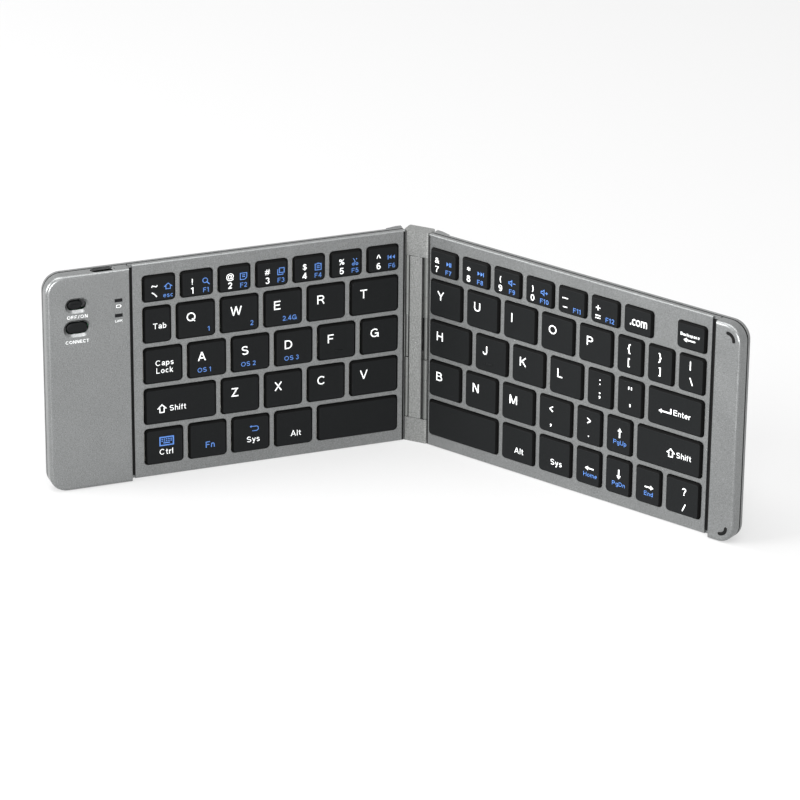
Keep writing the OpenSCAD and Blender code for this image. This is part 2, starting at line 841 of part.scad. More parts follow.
// ---- Assembly ----

spine_body();
spine_cover();
hinge_pin(-1);  // left_hinge_pin
hinge_pin(1);  // right_hinge_pin
flex_cable();

place_left() deck_frame(left_rows, left_block_w, left_x, left_step_x, left_groove_w);  // left_deck_frame
place_left() left_flank_cover();
place_left() groove_seal(left_step_x, left_groove_w);  // left_groove_seal
place_left() back_shell();  // left_back_shell
place_left() hinge_leaf();  // left_hinge_leaf
place_left() key_plate(left_x, left_block_w);  // left_key_plate
place_left() membrane(left_x, left_block_w);  // left_membrane
place_left() color("#dcdcd6") all_keys(left_rows, left_block_w, left_x, "lift");  // left_key_lifts
place_left() color("#d9d4c4") all_keys(left_rows, left_block_w, left_x, "dome");  // left_rubber_domes
place_left() main_board();
place_left() battery();
place_left() usb_socket();
place_left() power_switch_housing();
place_left() pairing_switch();
place_left() indicator_windows();
place_left() magnets();  // left_magnets
place_left() case_screws();  // left_screws
place_left() back_feet();  // left_back_feet
place_left() power_slider();
place_left() pairing_button();

place_left() keycaps(left_rows, left_block_w, left_x, 0, 0, 0);  // left_space_key
place_left() keycaps(left_rows, left_block_w, left_x, 0, 1, 4);  // left_base_keys
place_left() keycaps(left_rows, left_block_w, left_x, 1, 0, 3);  // left_bottom_keys
place_left() keycaps(left_rows, left_block_w, left_x, 1, 4, 4);  // left_shift_key
place_left() keycaps(left_rows, left_block_w, left_x, 2, 0, 4);  // left_home_keys
place_left() keycaps(left_rows, left_block_w, left_x, 2, 5, 5);  // caps_key
place_left() keycaps(left_rows, left_block_w, left_x, 3, 0, 4);  // left_top_keys
place_left() keycaps(left_rows, left_block_w, left_x, 3, 5, 5);  // tab_key
place_left() keycaps(left_rows, left_block_w, left_x, number_row, 0, 6);  // left_number_keys

place_right() deck_frame(right_rows, right_block_w, right_x, right_step_x, right_groove_w);  // right_deck_frame
place_right() right_flank_cover();
place_right() groove_seal(right_step_x, right_groove_w);  // right_groove_seal
place_right() back_shell();  // right_back_shell
place_right() hinge_leaf();  // right_hinge_leaf
place_right() key_plate(right_x, right_block_w);  // right_key_plate
place_right() membrane(right_x, right_block_w);  // right_membrane
place_right() color("#dcdcd6") all_keys(right_rows, right_block_w, right_x, "lift");  // right_key_lifts
place_right() color("#d9d4c4") all_keys(right_rows, right_block_w, right_x, "dome");  // right_rubber_domes
place_right() magnets();  // right_magnets
place_right() case_screws();  // right_screws
place_right() back_feet();  // right_back_feet
place_right() flank_bumpers();

place_right() keycaps(right_rows, right_block_w, right_x, 0, 0, 0);  // right_space_key
place_right() {  // right_base_keys
    keycaps(right_rows, right_block_w, right_x, 0, 1, 2);
    keycaps(right_rows, right_block_w, right_x, 0, 6, 6);
}
place_right() {  // arrow_keys
    keycaps(right_rows, right_block_w, right_x, 0, 3, 5);
    keycaps(right_rows, right_block_w, right_x, 1, 5, 5);
}
place_right() keycaps(right_rows, right_block_w, right_x, 1, 0, 4);  // right_bottom_keys
place_right() keycaps(right_rows, right_block_w, right_x, 1, 6, 6);  // right_shift_key
place_right() keycaps(right_rows, right_block_w, right_x, 2, 0, 5);  // right_home_keys
place_right() keycaps(right_rows, right_block_w, right_x, 2, 6, 6);  // enter_key
place_right() keycaps(right_rows, right_block_w, right_x, 3, 0, 7);  // right_top_keys
place_right() keycaps(right_rows, right_block_w, right_x, number_row, 0, 6);  // right_number_keys
place_right() keycaps(right_rows, right_block_w, right_x, number_row, 8, 8);  // backspace_key
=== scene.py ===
"""Looks of the folding keyboard: smooth shells, keycaps, legends, materials, light and camera.

All sizes are in millimetres in each half's own frame, as in the CAD: x runs out from the
fold axis, y runs back from it, z runs up from the foot. MM turns them into metres.
"""

import json
import math
from collections import defaultdict

import bmesh
import bpy
from mathutils import Matrix, Vector

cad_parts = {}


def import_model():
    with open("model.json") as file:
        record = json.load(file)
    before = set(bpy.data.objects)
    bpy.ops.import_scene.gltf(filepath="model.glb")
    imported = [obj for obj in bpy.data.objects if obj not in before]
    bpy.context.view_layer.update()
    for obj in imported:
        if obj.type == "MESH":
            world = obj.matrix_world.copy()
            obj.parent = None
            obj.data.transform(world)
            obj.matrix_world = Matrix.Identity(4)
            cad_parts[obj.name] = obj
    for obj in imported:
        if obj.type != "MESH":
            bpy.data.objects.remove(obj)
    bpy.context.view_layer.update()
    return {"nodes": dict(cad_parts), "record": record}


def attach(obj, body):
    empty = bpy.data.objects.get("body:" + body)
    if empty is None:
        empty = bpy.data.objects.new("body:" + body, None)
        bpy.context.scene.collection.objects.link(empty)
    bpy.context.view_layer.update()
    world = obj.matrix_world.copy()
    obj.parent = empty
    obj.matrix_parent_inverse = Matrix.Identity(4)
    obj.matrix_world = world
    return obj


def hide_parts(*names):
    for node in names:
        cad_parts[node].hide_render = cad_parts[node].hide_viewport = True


MM = 0.001

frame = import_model()
nodes = frame["nodes"]

# ---- Sizes shared with the CAD ----

# Fold axes, and the box of each half
HINGE_X = 4.1
LEFT_FOLD = 45
RIGHT_FOLD = 12
NEAR_X = 1.65
END_X = 146.65
DEPTH = 89.2
CORNER_R = 7.0
WALL = 1.2
SEAM_Y = 0.8

# Deck and flanks
DECK_Y = -1.2
DECK_CHAMFER = 0.35
FLANK_Y = -3.95
FLANK_ROUND = 1.3
FLANK_WALL = 1.0
LEFT_STEP_X = END_X - 33
RIGHT_STEP_X = END_X - 11.3
STEP_ROUND = 0.4

# Back shells with their ridges, screws and feet, and the bay of the flat cable
BACK_Y = 3.2
BACK_ROUND = 0.8
BACK_INSIDE_Y = 2.4
BACK_NEAR_R = 0.3
RIDGE_Y = 4.4
RIDGE_LEN = 6.5
KNUCKLE_Z = (10.35, 78.85)
CABLE_BAY_H = 18
SCREW_EDGE = 2.3
SCREW_X = (NEAR_X + 18, NEAR_X + 98)
SCREW_Z = (SCREW_EDGE, DEPTH - SCREW_EDGE)
SCREW_HEAD_R = 1.3
SCREW_SINK = 0.6
FOOT_SIZE = (16.0, 5.0)
FOOT_CORNER = 1.5
FOOT_SINK = 0.3
FOOT_X = (NEAR_X + 24, END_X - 30)
FOOT_Z = (8.0, DEPTH - 13.0)

# Key wells and keycaps
ROW_PITCH = 17.05
WEB = 1.6
KEY_H = ROW_PITCH - WEB
NUMBER_KEY_H = 11.3
FIRST_ROW_Z = 4.9
LEFT_BLOCK = (4.35, 104.0)
RIGHT_BLOCK = (2.65, 128.0)
CAP_GAP = 0.25
CAP_Y = DECK_Y - 1.2
CAP_T = 1.5
CAP_TOP_T = 0.8
CAP_WALL = 0.9
CAP_CORNER = 1.45

# Switch, button, indicator windows and charging socket on the left flank
CONTROL_X = END_X - 12.1
CONTROL_GAP = 0.2
SWITCH_Z = 76.8
SWITCH_SIZE = (7.2, 3.8)
SWITCH_TRAVEL = 1.3
BUTTON_Z = 67.4
BUTTON_SIZE = (8.7, 4.6)
BEVEL_W = 1.1
BEVEL_DEPTH = 1.2
WINDOW_X = LEFT_STEP_X + 4.6
WINDOW_SIZE = (3.1, 1.4)
WINDOW_PITCH = 6.2
SOCKET_X = END_X - 23
SOCKET_Y = FLANK_Y + FLANK_WALL + 1.7
SOCKET_CUT = (9.54, 3.6)
SOCKET_BORE = (8.3, 2.56)

# Bumpers on the right flank
BUMPER_R = 2.7
BUMPER_END_INSET = 5.8
BUMPER_EDGE_INSET = 6.3
BUMPER_W = 1.4
BUMPER_SINK = 0.5

# ---- Sizes of the looks alone ----

SEAM_BEVEL = 0.2
BACK_SEAM_BEVEL = 0.6
# Width of the near-black strip of painted shade beside the spine, on each half.
NEAR_SHADE_W = {"left": 0.8, "right": 0.5}
SLEEVE_R = 0.98
CAP_SLANT = 0.6
CAP_SLANT_H = 0.6
CAP_ROUND = 0.25
# Bands of each cap's side that take the darker keycap plastic, which paints the shade in the gap round
# each key.
SHADED_CAP_BANDS = 7
THROUGH = 1.0
HOLE_DEPTH = 4.0
WELD = 1e-4


class Half:
    """One half of the keyboard and the way from its own frame to the keyboard's."""

    def __init__(self, side):
        """Left or right."""
        self.side = side
        self.body = side + "_half"
        self.mirrored = side == "left"
        x = -HINGE_X if self.mirrored else HINGE_X
        turn = LEFT_FOLD if self.mirrored else -RIGHT_FOLD
        flip = Matrix.Diagonal((-1 if self.mirrored else 1, 1, 1, 1))
        self.matrix = (
            Matrix.Scale(MM, 4)
            @ Matrix.Translation((x, 0, 0))
            @ Matrix.Rotation(math.radians(turn), 4, "Z")
            @ flip
        )

    def reading_plane(self, x, y, z):
        """Matrix of a plane that faces the typist: u to the right, v up and w out."""
        right = -1 if self.mirrored else 1
        axes = Matrix(((right, 0, 0, x), (0, 0, -1, y), (0, 1, 0, z), (0, 0, 0, 1)))
        return self.matrix @ axes


LEFT = Half("left")
RIGHT = Half("right")

# ---- Materials ----

NOISE_RANGE = (0.3, 0.7)
ROUGH_SPREAD = 0.05
DRIFT = 14


def set_inputs(tree, node, inputs):
    """Gives each named input a value or a link from another node's output."""
    for name, value in inputs.items():
        if isinstance(value, bpy.types.NodeSocket):
            tree.links.new(value, node.inputs[name])
        else:
            node.inputs[name].default_value = value


def add_node(tree, kind, inputs):
    """A new shader node of that kind with its inputs set."""
    node = tree.nodes.new("ShaderNode" + kind)
    set_inputs(tree, node, inputs)
    return node


def new_material(name):
    """A material with its node tree, its shader and a texture coordinate in metres."""
    mat = bpy.data.materials.new(name)
    mat.use_nodes = True
    tree = mat.node_tree
    coords = tree.nodes.new("ShaderNodeTexCoord")
    return mat, tree, tree.nodes["Principled BSDF"], coords.outputs["Object"]


def noise(tree, coords, grain, detail=2.0):
    """Noise whose grain is about that many millimetres across."""
    inputs = {"Vector": coords, "Scale": 1 / (grain * MM), "Detail": detail}
    return add_node(tree, "TexNoise", inputs).outputs["Fac"]


def remap(tree, value, low, high):
    """The usual range of noise stretched to low..high."""
    start, end = NOISE_RANGE
    inputs = {"Value": value, "From Min": start, "From Max": end, "To Min": low, "To Max": high}
    return add_node(tree, "MapRange", inputs).outputs["Result"]


def shade(tree, value, colour, low, high):
    """Colour times a brightness that follows the value."""
    brightness = remap(tree, value, low, high)
    node = tree.nodes.new("ShaderNodeMix")
    node.data_type = "RGBA"
    node.blend_type = "MULTIPLY"
    set_inputs(tree, node, {"Factor": 1, "A": (*colour, 1), "B": brightness})
    return node.outputs["Result"]


def bump(tree, height, depth):
    """Normal of a bump of that depth in millimetres."""
    inputs = {"Strength": 1, "Distance": depth * MM, "Height": height}
    return add_node(tree, "Bump", inputs).outputs["Normal"]


def speckled(name, colour, metallic, rough, grain, contrast, depth, gloss=0.5):
    """Painted, moulded or metal surface with fine grain and slow drifts of gloss."""
    mat, tree, shader, coords = new_material(name)
    fine = noise(tree, coords, grain)
    slow = noise(tree, coords, DRIFT, detail=3)
    look = {
        "Base Color": shade(tree, fine, colour, 1 - contrast, 1 + contrast),
        "Roughness": remap(tree, slow, rough - ROUGH_SPREAD, rough + ROUGH_SPREAD),
        "Metallic": metallic,
        "Specular IOR Level": gloss,
        "Normal": bump(tree, fine, depth),
    }
    set_inputs(tree, shader, look)
    return mat


def bare_metal(tree, shader, tint, value, spread, rough, metallic, normal):
    """Metal whose roughness follows the value that also tints it."""
    dull = remap(tree, value, rough - spread, rough + spread)
    look = {"Base Color": tint, "Roughness": dull, "Metallic": metallic, "Normal": normal}
    set_inputs(tree, shader, look)


def brushed(name, colour, rough, fineness):
    """Drawn or brushed metal, with its lines along one axis."""
    line_w = 0.12
    mat, tree, shader, coords = new_material(name)
    stretch = add_node(tree, "Mapping", {"Vector": coords, "Scale": fineness})
    lines = noise(tree, stretch.outputs["Vector"], line_w, detail=4)
    tint = shade(tree, lines, colour, 0.82, 1.1)
    bare_metal(tree, shader, tint, lines, 0.08, rough, 1, bump(tree, lines, 0.01))
    return mat


def grained(name, colour, metallic, rough):
    """Coarse grained metal of the spine's plate."""
    cell = 0.55
    mat, tree, shader, coords = new_material(name)
    cells = add_node(tree, "TexVoronoi", {"Vector": coords, "Scale": 1 / (cell * MM)})
    fine = noise(tree, coords, 0.4, detail=3)
    tint = shade(tree, fine, colour, 0.72, 1.3)
    grain = bump(tree, cells.outputs["Distance"], 0.09)
    bare_metal(tree, shader, tint, fine, 0.1, rough, metallic, grain)
    return mat


# Colour, metallic, roughness, grain in mm, contrast, depth of the grain in mm, and gloss if not 0.5.
SPECKLED = {
    "deck_paint": ((0.218, 0.224, 0.224), 0.85, 0.34, 0.36, 0.26, 0.006),
    "flank_paint": ((0.222, 0.228, 0.228), 0.85, 0.34, 0.36, 0.26, 0.006),
    "shell_paint": ((0.22, 0.225, 0.225), 0.85, 0.36, 0.36, 0.2, 0.006),
    "spine_paint": ((0.255, 0.26, 0.255), 0.85, 0.36, 0.42, 0.28, 0.01),
    "hinge_metal": ((0.165, 0.17, 0.165), 0.85, 0.42, 0.3, 0.15, 0.008),
    "flex_film": ((0.008, 0.008, 0.009), 0, 0.45, 0.5, 0.15, 0.004, 0.2),
    "circuit_board": ((0.02, 0.12, 0.05), 0, 0.35, 0.8, 0.25, 0.02),
    "battery_foil": ((0.55, 0.56, 0.58), 0.9, 0.35, 1.2, 0.12, 0.05),
    "switch_plastic": ((0.03, 0.03, 0.032), 0, 0.5, 0.4, 0.2, 0.01),
    "window_plastic": ((0.006, 0.006, 0.007), 0, 0.3, 0.5, 0.2, 0.002, 0.15),
    "control_plastic": ((0.006, 0.0065, 0.007), 0, 0.42, 0.25, 0.2, 0.008, 0.12),
    "black_rubber": ((0.007, 0.007, 0.007), 0, 0.72, 0.3, 0.3, 0.02, 0.08),
    "membrane_film": ((0.5, 0.49, 0.43), 0, 0.4, 2.0, 0.12, 0.01),
    "lift_plastic": ((0.6, 0.6, 0.57), 0, 0.5, 0.6, 0.1, 0.01),
    "dome_rubber": ((0.55, 0.51, 0.42), 0, 0.6, 0.5, 0.12, 0.01),
    "magnet_steel": ((0.6, 0.6, 0.62), 1, 0.25, 0.6, 0.08, 0.004),
    "keycap_plastic": ((0.0074, 0.0081, 0.0085), 0, 0.5, 0.18, 0.22, 0.012, 0.08),
}
# Colour, roughness, and how fine the lines are along each axis.
BRUSHED = {
    "pin_steel": ((0.16, 0.16, 0.155), 0.4, (1, 1, 0.05)),
    "socket_steel": ((0.5, 0.5, 0.5), 0.32, (1, 1, 0.1)),
    "key_plate_steel": ((0.4, 0.41, 0.42), 0.35, (1, 1, 0.05)),
    "screw_steel": ((0.12, 0.12, 0.125), 0.38, (1, 1, 1)),
}


def slot_materials():
    """The material of each slot in the record."""
    made = {name: speckled(name, *look) for name, look in SPECKLED.items()}
    for name, look in BRUSHED.items():
        made[name] = brushed(name, *look)
    made["spine_texture"] = grained("spine_texture", (0.225, 0.23, 0.225), 0.7, 0.5)
    return made


def ink(name, colour):
    """Flat printing ink, very lightly mottled."""
    return speckled(name, colour, 0, 0.5, 0.3, 0.05, 0.004)


slots = slot_materials()
white_ink = ink("white_ink", (0.98, 1.0, 1.0))
blue_ink = ink("blue_ink", (0.075, 0.2, 0.55))
# Near-black material of the strips that stand for shade in the seams, beside the spine and inside the
# socket: painted shade.
painted_shade_black = speckled("painted_shade_black", (0.006, 0.006, 0.006), 0, 0.7, 0.4, 0.2, 0.01, 0.1)
# Darker copy of the keycap plastic for the caps' side walls: painted shade of the gaps round the keys.
shaded_cap_side = speckled("shaded_cap_side", (0.002, 0.002, 0.002), 0, 0.6, 0.3, 0.2, 0.01, 0.08)

slot_of_node = {s["node"]: s["material_slot"] for s in frame["record"]["subparts"]}
for node_name, node_object in nodes.items():
    node_object.data.materials.clear()
    node_object.data.materials.append(slots[slot_of_node[node_name]])

# ---- Mesh helpers ----


def add_object(name, data):
    """A new object in the scene."""
    made = bpy.data.objects.new(name, data)
    bpy.context.scene.collection.objects.link(made)
    return made


def mesh_of(bm, name):
    """A mesh made of a bmesh, which is used up."""
    mesh = bpy.data.meshes.new(name)
    bm.to_mesh(mesh)
    bm.free()
    return mesh


def piece(
    name,
    bm,
    body,
    half=None,
    slot=None,
    material=None,
    second=None,
    stands_for=(),
    sharp=40,
    even=False,
):
    """Turns a bmesh, drawn in a half's frame or in metres, into a piece that rides on a body.

    It has the material of its slot in the record, or else one of this file's own. When even, large
    flat faces set its normals, so that only the rounds shade as rounds.
    """
    bmesh.ops.recalc_face_normals(bm, faces=bm.faces)
    for face in bm.faces:
        face.smooth = True
    for edge in bm.edges:
        if len(edge.link_faces) == 2:
            edge.smooth = edge.calc_face_angle(0) < math.radians(sharp)
    mesh = mesh_of(bm, name)
    if half:
        mesh.transform(half.matrix)
        if half.mirrored:
            mesh.flip_normals()
    mesh.materials.append(slots[slot] if slot else material)
    if second:
        mesh.materials.append(second)
    made = add_object(name, mesh)
    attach(made, body)
    if stands_for:
        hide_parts(*stands_for)
    if even:
        mod = made.modifiers.new("even_normals", "WEIGHTED_NORMAL")
        mod.keep_sharp = True
        mod.weight = 80


def ring_rows(bm, rings, capped=True, second_until=0):
    """Joins closed rings of points, each as long as the next, into a skin.

    The first few bands can take the piece's second material.
    """
    rows = [[bm.verts.new(p) for p in ring] for ring in rings]
    for band, (a, b) in enumerate(zip(rows, rows[1:])):
        for i in range(len(a)):
            j = (i + 1) % len(a)
            face = bm.faces.new((a[i], a[j], b[j], b[i]))
            face.material_index = 1 if band < second_until else 0
    if capped:
        bm.faces.new(rows[0][::-1])
        bm.faces.new(rows[-1])


def solid(rings, **how):
    """A bmesh with one skin through the rings."""
    bm = bmesh.new()
    ring_rows(bm, rings, **how)
    return bm


def arc(u, v, r_u, r_v, start, end, steps=8):
    """Points along part of an ellipse, with its angles in degrees."""
    angles = [math.radians(start + (end - start) * i / steps) for i in range(steps + 1)]
    return [(u + r_u * math.cos(a), v + r_v * math.sin(a)) for a in angles]


def circle_points(u, v, r, steps=14):
    """Points round a circle, each once."""
    return arc(u, v, r, r, 0, 360, steps)[:-1]


def rounded_outline(x0, x1, z0, z1, radii, steps=8):
    """Points round a rectangle, whose corner radii start at the lower right and run upwards."""
    corners = [(x1, z0, -1, 1, -90), (x1, z1, -1, -1, 0), (x0, z1, 1, -1, 90), (x0, z0, 1, 1, 180)]
    points = []
    for (x, z, way_x, way_z, start), r in zip(corners, radii):
        points += arc(x + way_x * r, z + way_z * r, r, r, start, start + 90, steps)
    return points


def slot_ring(x, z, w, h, steps=12):
    """Points round a slot shape with round ends, long along x."""
    r = h / 2
    reach = w / 2 - r
    right = arc(x + reach, z, r, r, -90, 90, steps)
    left = arc(x - reach, z, r, r, 90, 270, steps)
    return right + left


def slot_rings(x, z, levels):
    """Rings of a slot shape through levels of depth, width and height."""
    return [[(px, y, pz) for px, pz in slot_ring(x, z, w, h)] for y, w, h in levels]


def deep_rings(outline, levels):
    """Rings of an outline of x and z at each depth."""
    return [[(x, y, z) for x, z in outline] for y in levels]


def tall_rings(outline, levels):
    """Rings of an outline of x and y at each height."""
    return [[(x, y, z) for x, y in outline] for z in levels]


def box_rings(x0, x1, y0, y1, z0, z1):
    """Rings of a plain box between its limits."""
    return deep_rings([(x0, z0), (x1, z0), (x1, z1), (x0, z1)], (y0, y1))


def box_solid(*limits):
    """A bmesh with one box."""
    return solid(box_rings(*limits))


def cut(bm_body, cutters):
    """The body with each cutter's solid taken away."""
    solids = []
    for bm in (bm_body, *cutters):
        bmesh.ops.recalc_face_normals(bm, faces=bm.faces)
        solids.append(add_object("solid", mesh_of(bm, "solid")))
    body, *tools = solids
    for tool in tools:
        mod = body.modifiers.new("cut", "BOOLEAN")
        mod.object = tool
        mod.operation = "DIFFERENCE"
        mod.solver = "EXACT"
    graph = bpy.context.evaluated_depsgraph_get()
    made = bmesh.new()
    made.from_mesh(body.evaluated_get(graph).to_mesh())
    for used in solids:
        bpy.data.objects.remove(used)
    bmesh.ops.remove_doubles(made, verts=made.verts, dist=WELD)
    return made


# ---- Shells ----


def shell_rings(x0, y_face, round_r, inner, near_r, steps=6):
    """Rings of a shell from its bevelled seam to its rounded rim and face."""
    flat_band = 0.4
    least_r = 0.05
    way = 1 if y_face > SEAM_Y else -1
    bevel = BACK_SEAM_BEVEL if way > 0 else SEAM_BEVEL
    levels = [(SEAM_Y, bevel), (SEAM_Y + way * bevel, 0)]
    for i in range(steps + 1):
        a = math.radians(90 * i / steps)
        levels.append((y_face - way * round_r * (1 - math.sin(a)), round_r * (1 - math.cos(a))))
    levels.append((y_face, round_r + flat_band))
    rings = []
    for y, inset in levels:
        limits = (x0 + inner * inset, END_X - inset, inset, DEPTH - inset)
        radii = [max(r - inset, least_r) for r in (CORNER_R, CORNER_R, near_r, near_r)]
        rings.append([(x, y, z) for x, z in rounded_outline(*limits, radii, steps=10)])
    return rings


def hollow_cutters(x0, y0, y1):
    """Inside of a shell: a full box, and a shorter one between the rounded corners."""
    overlap = 0.01
    corner_x = END_X - CORNER_R
    full = box_solid(x0, corner_x, y0, y1, WALL, DEPTH - WALL)
    short = box_solid(corner_x - overlap, END_X - WALL, y0, y1, CORNER_R, DEPTH - CORNER_R)
    return [full, short]


def control_cutter(z, size):
    """Bevelled recess and hole round a switch or button."""
    soft = 0.15
    rim = 2 * BEVEL_W
    bottom = FLANK_Y + BEVEL_DEPTH
    profile = [
        (FLANK_Y - 0.6, rim + 1.2),
        (FLANK_Y - 0.02, rim + 0.25),
        (FLANK_Y + soft, rim - 0.2),
        (bottom - soft, 0.25),
        (bottom, 0),
        (FLANK_Y + HOLE_DEPTH, 0),
    ]
    w, h = size
    return solid(slot_rings(CONTROL_X, z, [(y, w + wider, h + wider) for y, wider in profile]))


def flank_hollow(step_x):
    """Cutters for a flank cover's hollow."""
    return hollow_cutters(step_x + WALL, FLANK_Y + FLANK_WALL, SEAM_Y + THROUGH)


def left_flank_cutters():
    """Hollow, recesses, indicator windows and socket mouth of the left flank."""
    cutters = flank_hollow(LEFT_STEP_X)
    cutters.append(control_cutter(SWITCH_Z, SWITCH_SIZE))
    cutters.append(control_cutter(BUTTON_Z, BUTTON_SIZE))
    w, h = WINDOW_SIZE
    sides = (WINDOW_X - w / 2, WINDOW_X + w / 2)
    for z in (SWITCH_Z, SWITCH_Z - WINDOW_PITCH):
        ends = (z - h / 2, z + h / 2)
        cutters.append(box_solid(*sides, FLANK_Y - THROUGH, FLANK_Y + HOLE_DEPTH, *ends))
    mouth = slot_ring(SOCKET_X, SOCKET_Y, *SOCKET_CUT)
    cutters.append(solid(tall_rings(mouth, (DEPTH - HOLE_DEPTH, DEPTH + THROUGH))))
    return cutters


def crescent_rings(top, levels):
    """Rings of a crescent at the right flank's outer corner, through levels of depth and width."""
    way = 1 if top else -1
    x = END_X - BUMPER_END_INSET
    z = DEPTH - BUMPER_EDGE_INSET if top else BUMPER_EDGE_INSET
    rings = []
    for y, w in levels:
        r = w / 2
        far, near = BUMPER_R + r, BUMPER_R - r
        outline = [
            *arc(x, z, far, way * far, 0, 90, 12),
            *arc(x, z + way * BUMPER_R, r, way * r, 90, 270)[1:-1],
            *arc(x, z, near, way * near, 90, 0, 12),
            *arc(x + BUMPER_R, z, r, way * r, 180, 360)[1:-1],
        ]
        rings.append([(px, y, pz) for px, pz in outline])
    return rings


def right_flank_cutters():
    """Hollow of the right flank and the beds of its two bumpers."""
    bed = [(FLANK_Y - THROUGH, BUMPER_W), (FLANK_Y + BUMPER_SINK, BUMPER_W)]
    return flank_hollow(RIGHT_STEP_X) + [solid(crescent_rings(top, bed)) for top in (True, False)]


def skin(half, name, bm, slot, node):
    """A shell's piece, which stands for one node of its half."""
    name, replaced = f"{half.side}_{name}", f"{half.side}_{node}"
    piece(name, bm, half.body, half, slot=slot, stands_for=[replaced], sharp=35, even=True)


def flank_cover(half, step_x, cutters):
    """Raised outer part of a half's front."""
    inner = STEP_ROUND / FLANK_ROUND
    body = solid(shell_rings(step_x, FLANK_Y, FLANK_ROUND, inner, STEP_ROUND))
    skin(half, "flank_skin", cut(body, cutters), "flank_paint", "flank_cover")


def back_pocket(outline, depth):
    """Cutter for a pocket of that depth in the back."""
    return solid(deep_rings(outline, (BACK_Y - depth, BACK_Y + THROUGH)))


def back_shell(half):
    """Back of a half, open to the hinge and the cable, with screw holes and pockets for the feet."""
    body = solid(shell_rings(NEAR_X, BACK_Y, BACK_ROUND, 0, BACK_NEAR_R))
    inside = (SEAM_Y - THROUGH, BACK_INSIDE_Y)
    cutters = hollow_cutters(NEAR_X + WALL, *inside)
    cutters.append(box_solid(NEAR_X - THROUGH, NEAR_X + WALL + 0.05, *inside, *KNUCKLE_Z))
    hole_d = 2 * SCREW_HEAD_R
    for x in SCREW_X:
        for z in SCREW_Z:
            cutters.append(back_pocket(slot_ring(x, z, hole_d + 0.001, hole_d), SCREW_SINK))
    w, h = FOOT_SIZE
    for x in FOOT_X:
        for z in FOOT_Z:
            outline = rounded_outline(x, x + w, z, z + h, 4 * [FOOT_CORNER], steps=5)
            cutters.append(back_pocket(outline, FOOT_SINK))
    skin(half, "back_skin", cut(body, cutters), "shell_paint", "back_shell")


def back_ridge(half):
    """The thicker strip on a half's back, beside the spine, a little lower at its ends."""
    soft = 0.25
    end_len = 0.3
    end_share = 0.9
    under = BACK_Y - 0.4
    outline = [
        (NEAR_X, under),
        (NEAR_X, RIDGE_Y - soft),
        (NEAR_X + soft, RIDGE_Y),
        (NEAR_X + RIDGE_LEN * 0.3, RIDGE_Y),
        (NEAR_X + RIDGE_LEN * 0.4, RIDGE_Y - 0.12),
        (NEAR_X + RIDGE_LEN, BACK_Y - 0.02),
        (NEAR_X + RIDGE_LEN, under),
    ]
    levels = [(0, end_share), (end_len, 1), (DEPTH - end_len, 1), (DEPTH, end_share)]
    ridge = solid([[(x, BACK_Y + (y - BACK_Y) * s, z) for x, y in outline] for z, s in levels])
    name = half.side + "_back_ridge"
    piece(name, ridge, half.body, half, slot="shell_paint", sharp=25, even=True)


def seam_shade_strip(half):
    """Near-black strip in the seam between the front and back shells, open at the hinge end: painted
    shade of the seam's groove.
    """
    sink = 0.03
    deep = 0.6
    start_x = NEAR_X + 0.3
    corner_x = END_X - CORNER_R
    paths = []
    for inset in (sink, deep):
        r = CORNER_R - inset
        path = [
            (start_x, inset),
            *arc(corner_x, CORNER_R, r, r, -90, 0, 10),
            *arc(corner_x, DEPTH - CORNER_R, r, r, 0, 90, 10),
            (start_x, DEPTH - inset),
        ]
        paths.append(path)
    front, back = SEAM_Y - SEAM_BEVEL + sink, SEAM_Y + BACK_SEAM_BEVEL - sink
    sections = [
        [(ox, front, oz), (ox, back, oz), (ix, back, iz), (ix, front, iz)]
        for (ox, oz), (ix, iz) in zip(*paths)
    ]
    piece(half.side + "_seam_shade_line", solid(sections), half.body, half, material=painted_shade_black)


def near_edge_shade(half):
    """Near-black strip along a half's edge beside the spine: painted shade of the gap between the half
    and the spine.
    """
    proud = 0.012
    thin = 0.1
    far_x = NEAR_X + NEAR_SHADE_W[half.side]
    section = [
        (NEAR_X - proud, SEAM_Y - thin),
        (NEAR_X - proud, DECK_Y + DECK_CHAMFER),
        (NEAR_X + DECK_CHAMFER * 0.3, DECK_Y - proud),
        (far_x, DECK_Y - proud),
        (far_x, DECK_Y + thin),
        (NEAR_X + thin, SEAM_Y - thin),
    ]
    strip = solid(tall_rings(section, (DECK_CHAMFER, DEPTH - DECK_CHAMFER)))
    piece(half.side + "_near_edge_shade", strip, half.body, half, material=painted_shade_black)


def bay_sleeve(half):
    """Sleeve round the pin where the cable crosses, in line with the hinge barrels."""
    gap = 0.15
    soft = 0.1
    low, high = (DEPTH - CABLE_BAY_H) / 2 + gap, (DEPTH + CABLE_BAY_H) / 2 - gap
    end_r = SLEEVE_R - soft
    levels = [(low, end_r), (low + soft, SLEEVE_R), (high - soft, SLEEVE_R), (high, end_r)]
    sleeve = solid([[(x, y, z) for x, y in circle_points(0, 0, r, 32)] for z, r in levels])
    piece(half.side + "_bay_sleeve", sleeve, "spine", half, slot="hinge_metal")


def socket_shade_liner():
    """Black lining inside the charging socket's steel shell: painted shade of the socket's deep inside.
    """
    wall = 0.1
    top, low = DEPTH - 0.7, DEPTH - 6.5
    w, h = SOCKET_BORE
    path = [(0, low), (0, top), (wall, top), (wall, low), (0, low)]
    rings = []
    for inset, z in path:
        outline = slot_ring(SOCKET_X, SOCKET_Y, w - 2 * inset, h - 2 * inset)
        rings.append([(x, y, z) for x, y in outline])
    bm = solid(rings, capped=False)
    bmesh.ops.remove_doubles(bm, verts=bm.verts, dist=WELD)
    piece("socket_shade_liner", bm, "left_half", LEFT, material=painted_shade_black)


# ---- Keys ----

SLIM = 0.765
NUMBER = 0.845


def same_keys(node, width, *legends):
    """Keys that belong to one node and are equally wide, each with its own legends."""
    return [(node, width, *marks) for marks in legends]


